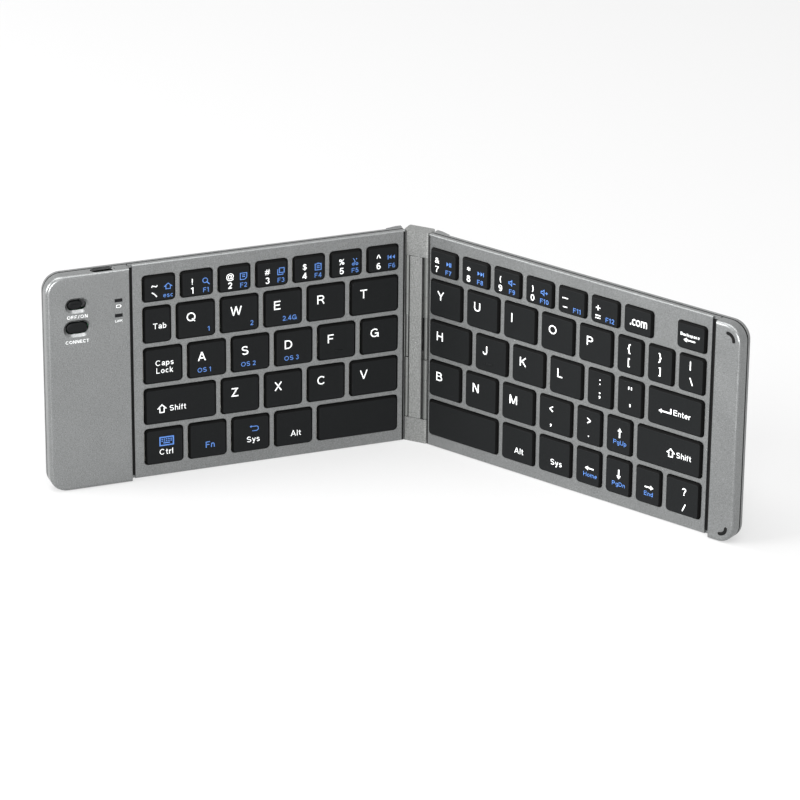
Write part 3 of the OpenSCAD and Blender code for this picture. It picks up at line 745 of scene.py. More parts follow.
def letter_keys(node, letters):
    """Plain keys with one letter each."""
    return same_keys(node, 1, *([("letter", sign)] for sign in letters))


def number_keys(node, *legends):
    """Keys of the number row: digit, sign, function key and icon."""
    return same_keys(node, NUMBER, *([("number", *facts)] for facts in legends))


# Each row runs from the hinge outwards, front row first: node, width in letter keys, legends.
LEFT_KEYS = [
    [
        ("left_space_key", 2.11),
        *same_keys(
            "left_base_keys",
            1,
            [("base_word", "Alt", 6.6)],
            [("base_word", "Sys", 6.1), ("undo", 9.4, -5.45)],
            [("blue_word", "Fn", 7.0)],
            [("base_word", "Ctrl", 5.85), ("board", 8.8, -5.6)],
        ),
    ],
    [
        ("left_bottom_keys", 1.27, ("letter", "V")),
        *letter_keys("left_bottom_keys", "CXZ"),
        ("left_shift_key", 1.84, ("shift", 7.1, -8.85), ("word", "Shift", 10.1, -10.1)),
    ],
    [
        *same_keys(
            "left_home_keys",
            1,
            [("letter", "G")],
            [("letter", "F"), ("bar", 8.7, -11.5)],
            [("letter", "D"), ("blue_low", "OS 3")],
            [("letter", "S"), ("blue_low", "OS 2")],
            [("letter", "A"), ("blue_low", "OS 1")],
        ),
        ("caps_key", 1, ("middle_word", "Caps", 8.4, -7.7), ("middle_word", "Lock", 8.4, -10.9)),
    ],
    [
        ("left_top_keys", 1.27, ("letter", "T")),
        *same_keys(
            "left_top_keys",
            1,
            [("letter", "R")],
            [("letter", "E"), ("blue_corner", "2.4G")],
            [("letter", "W"), ("blue_corner", "2")],
            [("letter", "Q"), ("blue_corner", "1")],
        ),
        ("tab_key", 0.73, ("word", "Tab", 4.0, -9.25)),
    ],
    number_keys(
        "left_number_keys",
        ("6", "^", "F6", "previous"),
        ("5", "%", "F5", "cut"),
        ("4", "$", "F4", "paste"),
        ("3", "#", "F3", "copy"),
        ("2", "@", "F2", "tile"),
        ("1", "!", "F1", "find"),
        ("`", "~", "esc", "home"),
    ),
]
RIGHT_KEYS = [
    [
        ("right_space_key", 2.12),
        ("right_base_keys", 1, ("base_word", "Alt", 6.7)),
        ("right_base_keys", 1, ("base_word", "Sys", 6.2)),
        *same_keys(
            "arrow_keys",
            SLIM,
            [("left", 6.8, -7.9), ("small_blue", "Home", 7.3, -11.45)],
            [("down", 6.6, -6.5), ("small_blue", "PgDn", 6.6, -11.45)],
            [("right", 6.8, -7.9), ("small_blue", "End", 6.6, -11.45)],
        ),
        ("right_base_keys", 1, ("sign", "?", 8.8, -6.65), ("sign", "/", 8.9, -13.2)),
    ],
    [
        *letter_keys("right_bottom_keys", "BNM"),
        ("right_bottom_keys", 1, ("sign", "<", 6.2, -6.5), ("sign", ",", 6.2, -11.9)),
        ("right_bottom_keys", SLIM, ("sign", ">", 6.3, -6.6), ("sign", ".", 6.2, -11.8)),
        ("arrow_keys", SLIM, ("up", 6.6, -6.25), ("small_blue", "PgUp", 6.8, -11.1)),
        ("right_shift_key", 1.87, ("shift", 16.1, -7.9), ("word", "Shift", 18.6, -9.1)),
    ],
    [
        ("right_home_keys", 1.28, ("letter", "H")),
        ("right_home_keys", 1, ("letter", "J"), ("bar", 7.6, -11.5)),
        *letter_keys("right_home_keys", "KL"),
        ("right_home_keys", SLIM, ("sign", ":", 6.3, -5.9), ("sign", ";", 6.3, -11.1)),
        ("right_home_keys", SLIM, ("sign", '"', 6.2, -6.0), ("sign", "'", 6.4, -13.3)),
        ("enter_key", 1.59, ("enter", 8.4, -8.2), ("word", "Enter", 12.2, -9.15)),
    ],
    [
        *letter_keys("right_top_keys", "YUIOP"),
        *same_keys(
            "right_top_keys",
            SLIM,
            [("bracket", "{", 5.8, -5.7), ("bracket", "[", 5.9, -11.8)],
            [("bracket", "}", 6.0, -5.7), ("bracket", "]", 6.0, -11.8)],
            [("bracket", "|", 5.7, -5.7), ("bracket", "\\", 6.3, -12.0)],
        ),
    ],
    [
        *number_keys(
            "right_number_keys",
            ("7", "&", "F7", "play"),
            ("8", "*", "F8", "next"),
            ("9", "(", "F9", "quieter"),
            ("0", ")", "F10", "louder"),
            ("-", "_", "F11", None),
            ("=", "+", "F12", None),
        ),
        ("right_number_keys", NUMBER, ("tall_word", ".com", 7.15, -7.45)),
        (None, 0.45),
        ("backspace_key", NUMBER, ("small_word", "Backspace", 6.3, -5.6), ("back", 6.1, -7.1)),
    ],
]


def keys_of(rows, block):
    """Each key's node, its well's corners and its legends."""
    x_start, block_w = block
    for r, row in enumerate(rows):
        z0 = FIRST_ROW_Z + r * ROW_PITCH
        z1 = z0 + (NUMBER_KEY_H if r == len(rows) - 1 else KEY_H)
        unit = (block_w - WEB * (len(row) - 1)) / sum(key[1] for key in row)
        x = x_start
        for node, width, *legends in row:
            x1 = x + width * unit
            if node:
                yield node, x, x1, z0, z1, legends
            x = x1 + WEB


def keycap(bm, matrix, w, h):
    """Hollow keycap with a soft edge and a very shallow dish, set out from its well's top left."""
    steps = 5
    least_r = 0.4
    shoulder = CAP_GAP + CAP_SLANT
    levels = [
        (-CAP_TOP_T, CAP_GAP + CAP_WALL),
        (-CAP_T, CAP_GAP + CAP_WALL),
        (-CAP_T, CAP_GAP),
        (-CAP_ROUND - CAP_SLANT_H, CAP_GAP + 0.02),
        (-CAP_ROUND, shoulder),
    ]
    for i in range(1, steps + 1):
        a = math.radians(90 * i / steps)
        levels.append((-CAP_ROUND * (1 - math.sin(a)), shoulder + CAP_ROUND * (1 - math.cos(a))))
    levels += [(-0.01, shoulder + CAP_ROUND + 0.35), (-0.04, CAP_GAP + 2.4), (-0.05, CAP_GAP + 4.2)]
    rings = []
    for depth, inset in levels:
        r = max(CAP_CORNER - (inset - CAP_GAP), least_r)
        outline = rounded_outline(inset, w - inset, inset - h, -inset, 4 * [r], steps)
        rings.append([matrix @ Vector((u, v, depth)) for u, v in outline])
    # The side bands take the darker copy of the keycap plastic: painted shade of the gap round the key.
    ring_rows(bm, rings, second_until=SHADED_CAP_BANDS)


# ---- Legends: u runs to the right from a key's left edge, v up from its back edge ----

INK_T = 0.02
FONT_CAP_SHARE = 0.729
SHARPEST_MITRE = 0.35


def lettering(bm, matrix, text, u, v, cap_h, bold=0.02, narrow=1.0):
    """Text in the built-in font, its middle at u and its baseline at v."""
    curve = bpy.data.curves.new("legend", "FONT")
    curve.body = text
    curve.size = cap_h / FONT_CAP_SHARE
    curve.align_x = "CENTER"
    curve.offset = bold * curve.size
    curve.extrude = INK_T
    curve.resolution_u = 3
    holder = add_object("legend", curve)
    graph = bpy.context.evaluated_depsgraph_get()
    mesh = bpy.data.meshes.new_from_object(holder.evaluated_get(graph))
    squeeze = Matrix.Diagonal((narrow, 1, 1, 1))
    mesh.transform(matrix @ Matrix.Translation((u, v, 0)) @ squeeze)
    bm.from_mesh(mesh)
    bpy.data.objects.remove(holder)
    bpy.data.curves.remove(curve)
    bpy.data.meshes.remove(mesh)


def shape(bm, matrix, points):
    """Flat printed polygon."""
    rings = [[matrix @ Vector((u, v, w)) for u, v in points] for w in (-INK_T, INK_T)]
    ring_rows(bm, rings)


def stroke(bm, matrix, points, width, closed=False):
    """Printed line of even width with mitred corners."""
    n = len(points)
    sides = []
    for i, (u, v) in enumerate(points):
        directions = []
        if closed or i > 0:
            u_before, v_before = points[i - 1]
            directions.append(Vector((u - u_before, v - v_before)).normalized())
        if closed or i < n - 1:
            u_after, v_after = points[(i + 1) % n]
            directions.append(Vector((u_after - u, v_after - v)).normalized())
        mean = sum(directions, Vector((0, 0))).normalized()
        reach = width / 2 / max(mean.dot(directions[0]), SHARPEST_MITRE)
        side = Vector((-mean.y, mean.x)) * reach
        sides.append(((u + side.x, v + side.y), (u - side.x, v - side.y)))
    for i in range(n if closed else n - 1):
        (a, b), (c, d) = sides[i], sides[(i + 1) % n]
        shape(bm, matrix, [a, c, d, b])


PEN = 0.145
SLIM_PEN = PEN * 0.9
LOW = PEN / 2
TOP = 1 - PEN / 2
X_HEIGHT = 0.7


def upright(u, v0=0, v1=1):
    """Middle line of an upright stroke."""
    return [(u, v0), (u, v1)]


def across(u0, u1, v):
    """Middle line of a level stroke."""
    return [(u0, v), (u1, v)]


def zigzag(*points):
    """Straight strokes from point to point, each with square ends."""
    return [list(pair) for pair in zip(points, points[1:])]


def round_line(u, v, r_u, r_v, steps=12):
    """Middle line of a full ellipse."""
    return arc(u, v, r_u, r_v, 0, 360, steps)


def bowl(u, v, r_u, r_v, top, low):
    """Middle line of a bowl that leaves the stem at its top and comes back low."""
    return [(LOW, top), (u, top), *arc(u, v, r_u, r_v, 80, -80), (LOW, low)]


def arch(u, v, r_u, r_v):
    """Middle line of the arch of a small letter, down to its baseline."""
    return [*arc(u, v, r_u, r_v, 160, 0, 6), (u + r_u, 0)]


STEM = upright(LOW)
SHORT_STEM = upright(LOW, 0, X_HEIGHT)
SMALL_C = (0.32, 0.36, 0.25, 0.29)
SMALL_BOWL = (0.23, 0.29)

# Width of each sign and the middle lines of its strokes, for capitals 1 high.
GLYPHS = {
    "A": (0.9, *zigzag((0.07, 0), (0.45, 1), (0.83, 0)), across(0.2, 0.7, 0.31)),
    "B": (0.78, STEM, bowl(0.42, 0.73, 0.22, 0.2, TOP, 0.53), bowl(0.44, 0.3, 0.27, 0.23, 0.53, LOW)),
    "C": (0.9, arc(0.47, 0.5, 0.4, 0.43, 42, 318, 14)),
    "D": (0.85, STEM, bowl(0.36, 0.5, 0.41, 0.43, TOP, LOW)),
    "E": (0.72, STEM, across(LOW, 0.72, TOP), across(LOW, 0.66, 0.53), across(LOW, 0.72, LOW)),
    "F": (0.66, STEM, across(LOW, 0.66, TOP), across(LOW, 0.58, 0.5)),
    "G": (
        0.95,
        [*arc(0.48, 0.5, 0.41, 0.43, 42, 330, 14), (0.86, 0.46), (0.5, 0.46)],
        upright(0.86, 0.5, 0),
    ),
    "H": (0.8, STEM, upright(0.73), across(LOW, 0.73, 0.52)),
    "I": (PEN, STEM),
    "J": (0.58, [(0.51, 1), *arc(0.29, 0.3, 0.22, 0.23, 0, -180)]),
    "K": (0.82, STEM, [(0.74, 1), (LOW, 0.36)], [(0.3, 0.56), (0.76, 0)]),
    "L": (0.64, STEM, across(LOW, 0.64, LOW)),
    "M": (0.98, STEM, upright(0.91), [(0.1, 1), (0.49, 0.03)], [(0.88, 1), (0.49, 0.03)]),
    "N": (0.8, STEM, upright(0.73), [(0.1, 1), (0.7, 0)]),
    "O": (0.98, round_line(0.49, 0.5, 0.42, 0.43, 20)),
    "P": (0.78, STEM, bowl(0.44, 0.69, 0.27, 0.24, TOP, 0.45)),
    "Q": (0.98, round_line(0.49, 0.5, 0.42, 0.43, 20), [(0.58, 0.28), (0.92, -0.03)]),
    "R": (0.83, STEM, bowl(0.46, 0.7, 0.25, 0.23, TOP, 0.47), [(0.44, 0.45), (0.56, 0.4), (0.75, 0)]),
    "S": (0.8, [*arc(0.4, 0.72, 0.29, 0.21, 25, 260, 9), *arc(0.41, 0.28, 0.31, 0.22, 90, -155, 9)]),
    "T": (0.78, upright(0.39), across(0, 0.78, TOP)),
    "U": (0.8, [(LOW, 1), *arc(0.4, 0.37, 0.33, 0.3, 180, 360), (0.73, 1)]),
    "V": (0.88, *zigzag((0.07, 1), (0.44, 0), (0.81, 1))),
    "W": (1.26, *zigzag((0.07, 1), (0.34, 0), (0.63, 1), (0.92, 0), (1.19, 1))),
    "X": (0.86, [(0.08, 1), (0.78, 0)], [(0.78, 1), (0.08, 0)]),
    "Y": (0.88, [(0.07, 1), (0.44, 0.44)], [(0.81, 1), (0.44, 0.44)], upright(0.44, 0.48, 0)),
    "Z": (0.78, across(0.03, 0.76, TOP), [(0.67, 0.96), (0.09, 0.04)], across(0, 0.78, LOW)),
    "a": (0.6, [*arc(0.3, 0.48, 0.22, 0.18, 165, 0, 6), (0.52, 0)], round_line(0.28, 0.21, 0.21, 0.14)),
    "b": (0.62, STEM, round_line(0.32, 0.36, *SMALL_BOWL)),
    "c": (0.58, arc(*SMALL_C, 50, 310, 10)),
    "d": (0.62, upright(0.55), round_line(0.3, 0.36, *SMALL_BOWL)),
    "e": (0.62, across(0.08, 0.56, 0.37), arc(*SMALL_C, 0, 312, 12)),
    "f": (0.36, [(0.17, 0), *arc(0.36, 0.79, 0.19, 0.14, 180, 100, 4)], across(0, 0.36, 0.66)),
    "g": (
        0.62,
        round_line(0.3, 0.38, 0.23, 0.27),
        [(0.55, 0.7), *arc(0.32, -0.02, 0.23, 0.18, 0, -150, 6)],
    ),
    "h": (0.58, STEM, arch(0.29, 0.42, 0.22, 0.23)),
    "i": (0.15, SHORT_STEM, upright(LOW, 0.85, 1)),
    "k": (0.56, STEM, [(0.5, 0.7), (LOW, 0.28)], [(0.2, 0.42), (0.52, 0)]),
    "l": (0.15, STEM),
    "m": (0.95, SHORT_STEM, arch(0.27, 0.43, 0.2, 0.22), arch(0.67, 0.43, 0.2, 0.22)),
    "n": (0.58, SHORT_STEM, arch(0.29, 0.42, 0.22, 0.23)),
    "o": (0.64, round_line(*SMALL_C, 14)),
    "p": (0.62, upright(LOW, -0.25, X_HEIGHT), round_line(0.32, 0.36, *SMALL_BOWL)),
    "r": (0.38, SHORT_STEM, arc(0.36, 0.36, 0.29, 0.28, 165, 85, 4)),
    "s": (0.56, [*arc(0.28, 0.51, 0.2, 0.14, 25, 260, 7), *arc(0.28, 0.2, 0.21, 0.15, 90, -155, 7)]),
    "t": (0.38, [(0.17, 0.92), (0.17, 0.2), (0.24, LOW), (0.38, LOW)], across(0, 0.38, 0.66)),
    "y": (0.56, [(0.05, 0.7), (0.29, 0.02)], [(0.52, 0.7), (0.22, -0.2), (0.06, -0.2)]),
    " ": (0.2,),
    "0": (0.64, round_line(0.32, 0.5, 0.25, 0.43, 16)),
    "1": (0.42, [(0.03, 0.74), (0.28, 0.95)], upright(0.3)),
    "2": (0.64, [*arc(0.32, 0.68, 0.24, 0.25, 165, -40, 10), (0.1, LOW)], across(0.04, 0.62, LOW)),
    "3": (0.64, arc(0.31, 0.73, 0.22, 0.2, 160, -85, 10), arc(0.31, 0.29, 0.25, 0.23, 85, -160, 10)),
    "4": (0.66, upright(0.46), [(0.44, 0.96), (0.06, 0.28), (0.66, 0.28)]),
    "5": (0.64, [(0.58, TOP), (0.16, TOP), (0.1, 0.48), *arc(0.3, 0.32, 0.26, 0.26, 125, -155, 10)]),
    "6": (0.64, round_line(0.33, 0.32, 0.24, 0.25, 14), arc(0.37, 0.5, 0.29, 0.43, 60, 195, 9)),
    "7": (0.62, [(0.02, TOP), (0.55, TOP), *arc(0.75, 0.02, 0.53, 0.85, 118, 180, 5)]),
    "8": (0.64, round_line(0.32, 0.74, 0.21, 0.19, 14), round_line(0.32, 0.29, 0.25, 0.23, 14)),
    "9": (0.64, round_line(0.31, 0.68, 0.24, 0.25, 14), arc(0.27, 0.5, 0.29, 0.43, 240, 375, 9)),
    "!": (0.15, upright(LOW, 0.3, 1), upright(LOW, 0, 0.15)),
    "^": (0.72, *zigzag((0.04, 0.3), (0.36, 1), (0.68, 0.3))),
    "~": (1.1, [(0.04, 0.4), (0.25, 0.64), (0.55, 0.52), (0.85, 0.4), (1.06, 0.64)]),
    "`": (0.8, [(0.0, 0.95), (0.36, 0.7), (0.76, 0.25)]),
    "*": (0.7, upright(0.35, 0.3, 1), [(0.03, 0.47), (0.67, 0.83)], [(0.67, 0.47), (0.03, 0.83)]),
    "_": (1.15, across(0, 1.15, 0.5)),
    "-": (0.75, across(0, 0.75, 0.5)),
    "+": (0.9, across(0, 0.9, 0.5), upright(0.45, 0.05, 0.95)),
    "=": (0.9, across(0, 0.9, 0.3), across(0, 0.9, 0.7)),
    "<": (0.6, *zigzag((0.58, 0.85), (0.06, 0.5), (0.58, 0.15))),
    ">": (0.6, *zigzag((0.02, 0.85), (0.54, 0.5), (0.02, 0.15))),
    "/": (0.5, [(0.03, 0), (0.47, 1)]),
    "\\": (0.5, [(0.03, 1), (0.47, 0)]),
    "|": (0.14, upright(LOW, -0.1, 1.1)),
    "[": (0.3, [(0.3, TOP + 0.1), (LOW, TOP + 0.1), (LOW, LOW - 0.1), (0.3, LOW - 0.1)]),
    "]": (0.3, [(0, TOP + 0.1), (0.23, TOP + 0.1), (0.23, LOW - 0.1), (0, LOW - 0.1)]),
    "(": (0.3, arc(0.62, 0.47, 0.54, 0.85, 138, 222, 6)),
    ")": (0.3, arc(-0.32, 0.47, 0.54, 0.85, 42, -42, 6)),
    ":": (0.15, upright(LOW, 0, 0.16), upright(LOW, 0.58, 0.74)),
    ".": (0.15, upright(LOW, 0, 0.16)),
    "?": (0.64, [*arc(0.32, 0.73, 0.24, 0.2, 165, -60, 9), (0.32, 0.28)], upright(0.32, 0, 0.15)),
    '"': (0.55, upright(LOW, 0.6, 1), upright(0.48, 0.6, 1)),
}
GLYPH_GAP = 0.16


def printed(bm, matrix, text, u, v, cap_h, align="LEFT", pen=SLIM_PEN, spread=GLYPH_GAP):
    """Word drawn with even strokes, its baseline at v."""
    wide = sum(GLYPHS[sign][0] for sign in text) + spread * (len(text) - 1)
    start = {"LEFT": 0, "CENTER": wide / 2, "RIGHT": wide}[align]
    at = u - start * cap_h
    for sign in text:
        width, *lines = GLYPHS[sign]
        for line in lines:
            points = [(at + pu * cap_h, v + pv * cap_h) for pu, pv in line]
            stroke(bm, matrix, points, pen * cap_h)
        at += (width + spread) * cap_h


ICON_LINE = 0.29
ARROW_LINE = 0.28
ARROW_HEAD = (1.45, 0.95)


def rectangle(u0, u1, v0, v1):
    """Corners of a rectangle."""
    return [(u0, v0), (u1, v0), (u1, v1), (u0, v1)]


def triangle(tip_u, way):
    """Filled triangle that points to the right or the left."""
    base_u = tip_u - way * 1.02
    return ("area", [(tip_u, 0), (base_u, 0.85), (base_u, -0.85)])


def bar(u):
    """Filled upright bar."""
    return ("area", rectangle(u - 0.16, u + 0.16, -0.85, 0.85))


def arrow(turn, length=4.0):
    """Filled arrow, turned that many degrees from pointing right."""
    head_len, head_r = ARROW_HEAD
    tip = length / 2
    neck = tip - head_len
    cos, sin = math.cos(math.radians(turn)), math.sin(math.radians(turn))
    shaft = rectangle(-tip, neck, -ARROW_LINE, ARROW_LINE)
    head = [(neck, -head_r), (tip, 0), (neck, head_r)]
    parts = []
    for outline in (shaft, head):
        parts.append(("area", [(u * cos - v * sin, u * sin + v * cos) for u, v in outline]))
    return parts


def gabled(eaves, r, v, top, low):
    """Corners of a house or upward arrow: a roof with eaves at v, over a narrower body."""
    return [(-eaves, v), (0, top), (eaves, v), (r, v), (r, low), (-r, low), (-r, v)]


def small_keys():
    """Two rows of filled keys on the keyboard icon."""
    w, h = 0.27, 0.22
    middles = [(-1.8 + i * 0.9, v) for v in (0.85, 0.05) for i in range(5)]
    return [("area", rectangle(u - w, u + w, v - h, v + h)) for u, v in middles]


SPEAKER = ("loop", [(-1.6, 0.4), (-1.0, 0.4), (-0.2, 1.1), (-0.2, -1.1), (-1.0, -0.4), (-1.6, -0.4)])
# Each icon's lines, loops and filled areas, with the width of a line or loop that isn't usual.
ICONS = {
    "home": [("loop", gabled(1.4, 0.9, 0, 1.2, -1.1))],
    "find": [
        ("loop", circle_points(-0.3, 0.35, 0.95)),
        ("line", [(0.45, -0.4), (1.4, -1.4)], ICON_LINE * 1.3),
    ],
    "tile": [
        ("loop", [(-1.3, 1.3), (1.3, 1.3), (1.3, -0.5), (0.5, -1.3), (-1.3, -1.3)]),
        ("line", across(-0.6, 0.6, 0.5)),
        ("line", across(-0.6, 0.6, -0.2)),
    ],
    "copy": [
        ("loop", rectangle(-0.6, 1.3, 1.4, -0.5)),
        ("line", [(-1.05, 0.8), (-1.3, 0.8), (-1.3, -1.3), (0.8, -1.3), (0.8, -0.95)]),
    ],
    "paste": [
        ("loop", rectangle(-1.2, 1.2, 1.1, -1.4)),
        ("area", rectangle(-0.5, 0.5, 0.95, 1.5)),
        ("line", across(-0.6, 0.6, 0.2)),
        ("line", across(-0.6, 0.6, -0.5)),
    ],
    "cut": [
        ("line", [(-0.7, 1.4), (0.15, -0.2)]),
        ("line", [(0.7, 1.4), (0.42, 0.85)]),
        ("line", [(-0.02, 0.05), (-0.3, -0.42)]),
        ("loop", circle_points(-0.72, -0.95, 0.42, 10)),
        ("loop", circle_points(0.72, -0.95, 0.42, 10)),
    ],
    "previous": [bar(-1.55), triangle(-1.2, -1), triangle(0.2, -1)],
    "next": [triangle(-0.2, 1), triangle(1.2, 1), bar(1.55)],
    "play": [triangle(0.1, 1), bar(0.5), bar(1.1)],
    "quieter": [SPEAKER, ("line", across(0.4, 1.5, 0))],
    "louder": [
        SPEAKER,
        ("line", across(0.4, 0.79, 0)),
        ("line", across(1.11, 1.5, 0)),
        ("line", upright(0.95, -0.55, 0.55)),
    ],
    "undo": [
        ("line", [(-1.3, 0.8), (0.9, 0.8), (1.5, 0.3), (1.5, -0.6), (0.9, -1.1), (-1.0, -1.1)]),
        ("area", [(-2.0, 0.8), (-1.3, 0.25), (-1.3, 1.35)]),
    ],
    "board": [
        ("loop", rectangle(-2.7, 2.7, 1.7, -1.7), 0.5),
        *small_keys(),
        ("area", rectangle(-1.3, 1.3, -0.95, -0.5)),
    ],
    "shift": [("loop", gabled(1.5, 0.85, 0.2, 1.7, -1.5), 0.42)],
    "left": arrow(180),
    "right": arrow(0),
    "up": arrow(90),
    "down": arrow(-90),
    "back": arrow(180, 5.2),
    "enter": [
        ("line", [(-1.5, -0.6), (2.6, -0.6), (2.6, 1.3)], 0.6),
        ("area", [(-2.9, -0.6), (-1.5, -1.5), (-1.5, 0.3)]),
    ],
}
WHITE_ICONS = {"shift", "left", "right", "up", "down", "back", "enter"}


def icon(bm, matrix, name, u, v):
    """Small symbol with its middle at u and v."""
    place = matrix @ Matrix.Translation((u, v, 0))
    for kind, points, *width in ICONS[name]:
        if kind == "area":
            shape(bm, place, points)
        else:
            stroke(bm, place, points, *(width or [ICON_LINE]), closed=kind == "loop")


# Ink, cap height, alignment and pen of each kind of word. What follows is the part of its place,
# u and v or only v, that all words of the kind share.
WORDS = {
    "letter": ("white", 3.65, "LEFT", SLIM_PEN, 4.15, -7.95),
    "word": ("white", 2.3, "LEFT", 0.118),
    "base_word": ("white", 2.4, "LEFT", 0.118, -11.2),
    "middle_word": ("white", 2.3, "CENTER", 0.118),
    "small_word": ("white", 1.25, "CENTER", 0.14),
    "blue_word": ("blue", 2.6, "LEFT", SLIM_PEN, -10.95),
    "blue_low": ("blue", 1.9, "LEFT", SLIM_PEN, 4.0, -12.8),
    "small_blue": ("blue", 1.8, "CENTER", 0.115),
    "blue_corner": ("blue", 2.0, "RIGHT", 0.13, 13.4, -12.9),
}
SIGN_H = 3.0
FONT_SIGN_H = {"sign": 3.2, "bracket": 3.0}
TALL_WORD = {"cap_h": 4.1, "bold": 0.006, "narrow": 0.72}
# On the number row: the middles of the digit and of the function key, and the baselines.
NUMBER_U = {"left": (4.8, 10.25), "right": (3.8, 9.3)}
DIGIT_V = -9.5
UPPER_V = -5.7
UPPER_FONT_V = -5.6
ICON_V = -5.0


def word(inks, m, kind, text, *place):
    """One word in the way of its kind."""
    colour, cap_h, align, pen, *shared = WORDS[kind]
    u, v = (*place, *shared)
    printed(inks[colour], m, text, u, v, cap_h, align, pen)


def number_legend(inks, m, half, digit, sign, function_key, icon_name):
    """Digit under its sign on the left, function key under its icon on the right."""
    white, blue = inks["white"], inks["blue"]
    u_digit, u_blue = NUMBER_U[half.side]
    if sign in GLYPHS:
        printed(white, m, sign, u_digit, UPPER_V, 2.3, "CENTER", pen=0.16)
    else:
        lettering(white, m, sign, u_digit, UPPER_FONT_V, 2.4, bold=0.008)
    printed(white, m, digit, u_digit, DIGIT_V, 2.6, "CENTER", pen=0.155)
    printed(blue, m, function_key, u_blue, DIGIT_V, 1.9, "CENTER", pen=0.125)
    if icon_name:
        icon(blue, m, icon_name, u_blue, ICON_V)


def legend(inks, m, half, kind, *facts):
    """One entry of a key's list of legends."""
    if kind in WORDS:
        word(inks, m, kind, *facts)
    elif kind in ICONS:
        icon(inks["white" if kind in WHITE_ICONS else "blue"], m, kind, *facts)
    elif kind == "number":
        number_legend(inks, m, half, *facts)
    elif kind == "tall_word":
        lettering(inks["white"], m, *facts, **TALL_WORD)
    elif facts[0] in GLYPHS:
        printed(inks["white"], m, *facts, SIGN_H, "CENTER", pen=0.15)
    else:
        lettering(inks["white"], m, *facts, FONT_SIGN_H[kind])


def homing_bar(bm, m, u, v):
    """Raised bar that a finger feels, with rounded ends."""
    levels = [(-0.1, 3.2, 0.55), (0.12, 3.2, 0.55), (0.22, 2.95, 0.3)]
    rings = []
    for height, w, h in levels:
        rings.append([m @ Vector((pu, pv, height)) for pu, pv in slot_ring(u, v, w, h, 5)])
    ring_rows(bm, rings)


def keys(half, rows, block):
    """Keycaps and legends, one piece for each CAD node."""
    caps = defaultdict(bmesh.new)
    prints = {"white": defaultdict(bmesh.new), "blue": defaultdict(bmesh.new)}
    for node, x0, x1, z0, z1, legends in keys_of(rows, block):
        plane = half.reading_plane(x1 if half.mirrored else x0, CAP_Y, z1)
        keycap(caps[node], plane, x1 - x0, z1 - z0)
        for kind, *facts in legends:
            if kind == "bar":
                homing_bar(caps[node], plane, *facts)
            else:
                inks = {colour: pieces[node] for colour, pieces in prints.items()}
                legend(inks, plane, half, kind, *facts)
    # The caps' sides take the darker copy of their plastic: painted shade.
    look = {"slot": "keycap_plastic", "second": shaded_cap_side, "sharp": 50, "even": True}
    for node, bm in caps.items():
        piece(node + "_caps", bm, node, stands_for=[node], **look)
    for colour, material in (("white", white_ink), ("blue", blue_ink)):
        for node, bm in prints[colour].items():
            if bm.faces:
                piece(f"{node}_{colour}_print", bm, node, material=material)
            else:
                bm.free()


# ---- Controls and bumpers ----


def control_cap(name, node, x, z, size, ridged):
    """Smooth top of the switch or button, which can have a ridge for the finger."""
    proud = 0.5
    under = 0.8
    ridge_reach, ridge_half_w, ridge_h = 1.5, 0.35, 0.18
    bottom = FLANK_Y + BEVEL_DEPTH
    top = bottom - proud
    levels = [(bottom + under, 0), (top + 0.35, 0), (top + 0.1, 0.1), (top, 0.35), (top, 0.8)]
    w, h = (s - 2 * CONTROL_GAP for s in size)
    bm = solid(slot_rings(x, z, [(y, w - 2 * inset, h - 2 * inset) for y, inset in levels]))
    if ridged:
        sides = (x - ridge_reach, x + ridge_reach)
        ends = (z - ridge_half_w, z + ridge_half_w)
        ring_rows(bm, box_rings(*sides, top - ridge_h, top + 0.1, *ends))
    piece(name, bm, node, LEFT, slot="control_plastic", stands_for=[node], sharp=50)


def controls():
    """Tops of the power switch's knob and of the pairing button."""
    w, h = SWITCH_SIZE
    knob = (w - SWITCH_TRAVEL, h)
    knob_x = CONTROL_X + SWITCH_TRAVEL / 2
    control_cap("slider_cap", "power_slider", knob_x, SWITCH_Z, knob, ridged=True)
    control_cap("button_cap", "pairing_button", CONTROL_X, BUTTON_Z, BUTTON_SIZE, ridged=False)


def flank_print():
    """Words and signs printed beside the controls and the indicator windows."""
    bm = bmesh.new()
    at = LEFT.reading_plane(CONTROL_X, FLANK_Y, SWITCH_Z)
    printed(bm, at, "OFF/ON", 0, -5.25, 1.35, "CENTER", spread=0.28)
    printed(bm, at, "CONNECT", -0.2, -15.4, 1.3, "CENTER", spread=0.2)
    at = LEFT.reading_plane(WINDOW_X, FLANK_Y, SWITCH_Z)
    stroke(bm, at, rectangle(-0.9, 0.7, -1.9, -2.9), 0.2, closed=True)
    shape(bm, at, rectangle(0.85, 1.15, -2.6, -2.2))
    printed(bm, at, "LINK", 0, -8.9, 0.95, "CENTER", spread=0.22)
    piece("flank_print", bm, "left_half", material=white_ink)


def bumpers():
    """The two crescent pads on the right flank."""
    proud = 0.2
    gap = 0.05
    pad_w = BUMPER_W - 2 * gap
    levels = [
        (FLANK_Y + BUMPER_SINK, pad_w),
        (FLANK_Y - 0.05, pad_w),
        (FLANK_Y - 0.15, pad_w - 0.15),
        (FLANK_Y - proud, pad_w - 0.5),
    ]
    bm = bmesh.new()
    for top in (True, False):
        ring_rows(bm, crescent_rings(top, levels))
    name = "flank_bumper_pads"
    piece(name, bm, "right_half", RIGHT, slot="black_rubber", stands_for=["flank_bumpers"])


# ---- Stage, light and camera, in metres ----

WHITE = (1.0, 1.0, 1.0, 1.0)
FLOOR_REACH = 4.0
FLOOR_GREY = (0.66, 0.66, 0.66, 1.0)
FLOOR_GLOW = 0.55
WORLD_LIGHT = 0.42
WORLD_SEEN = 1.0


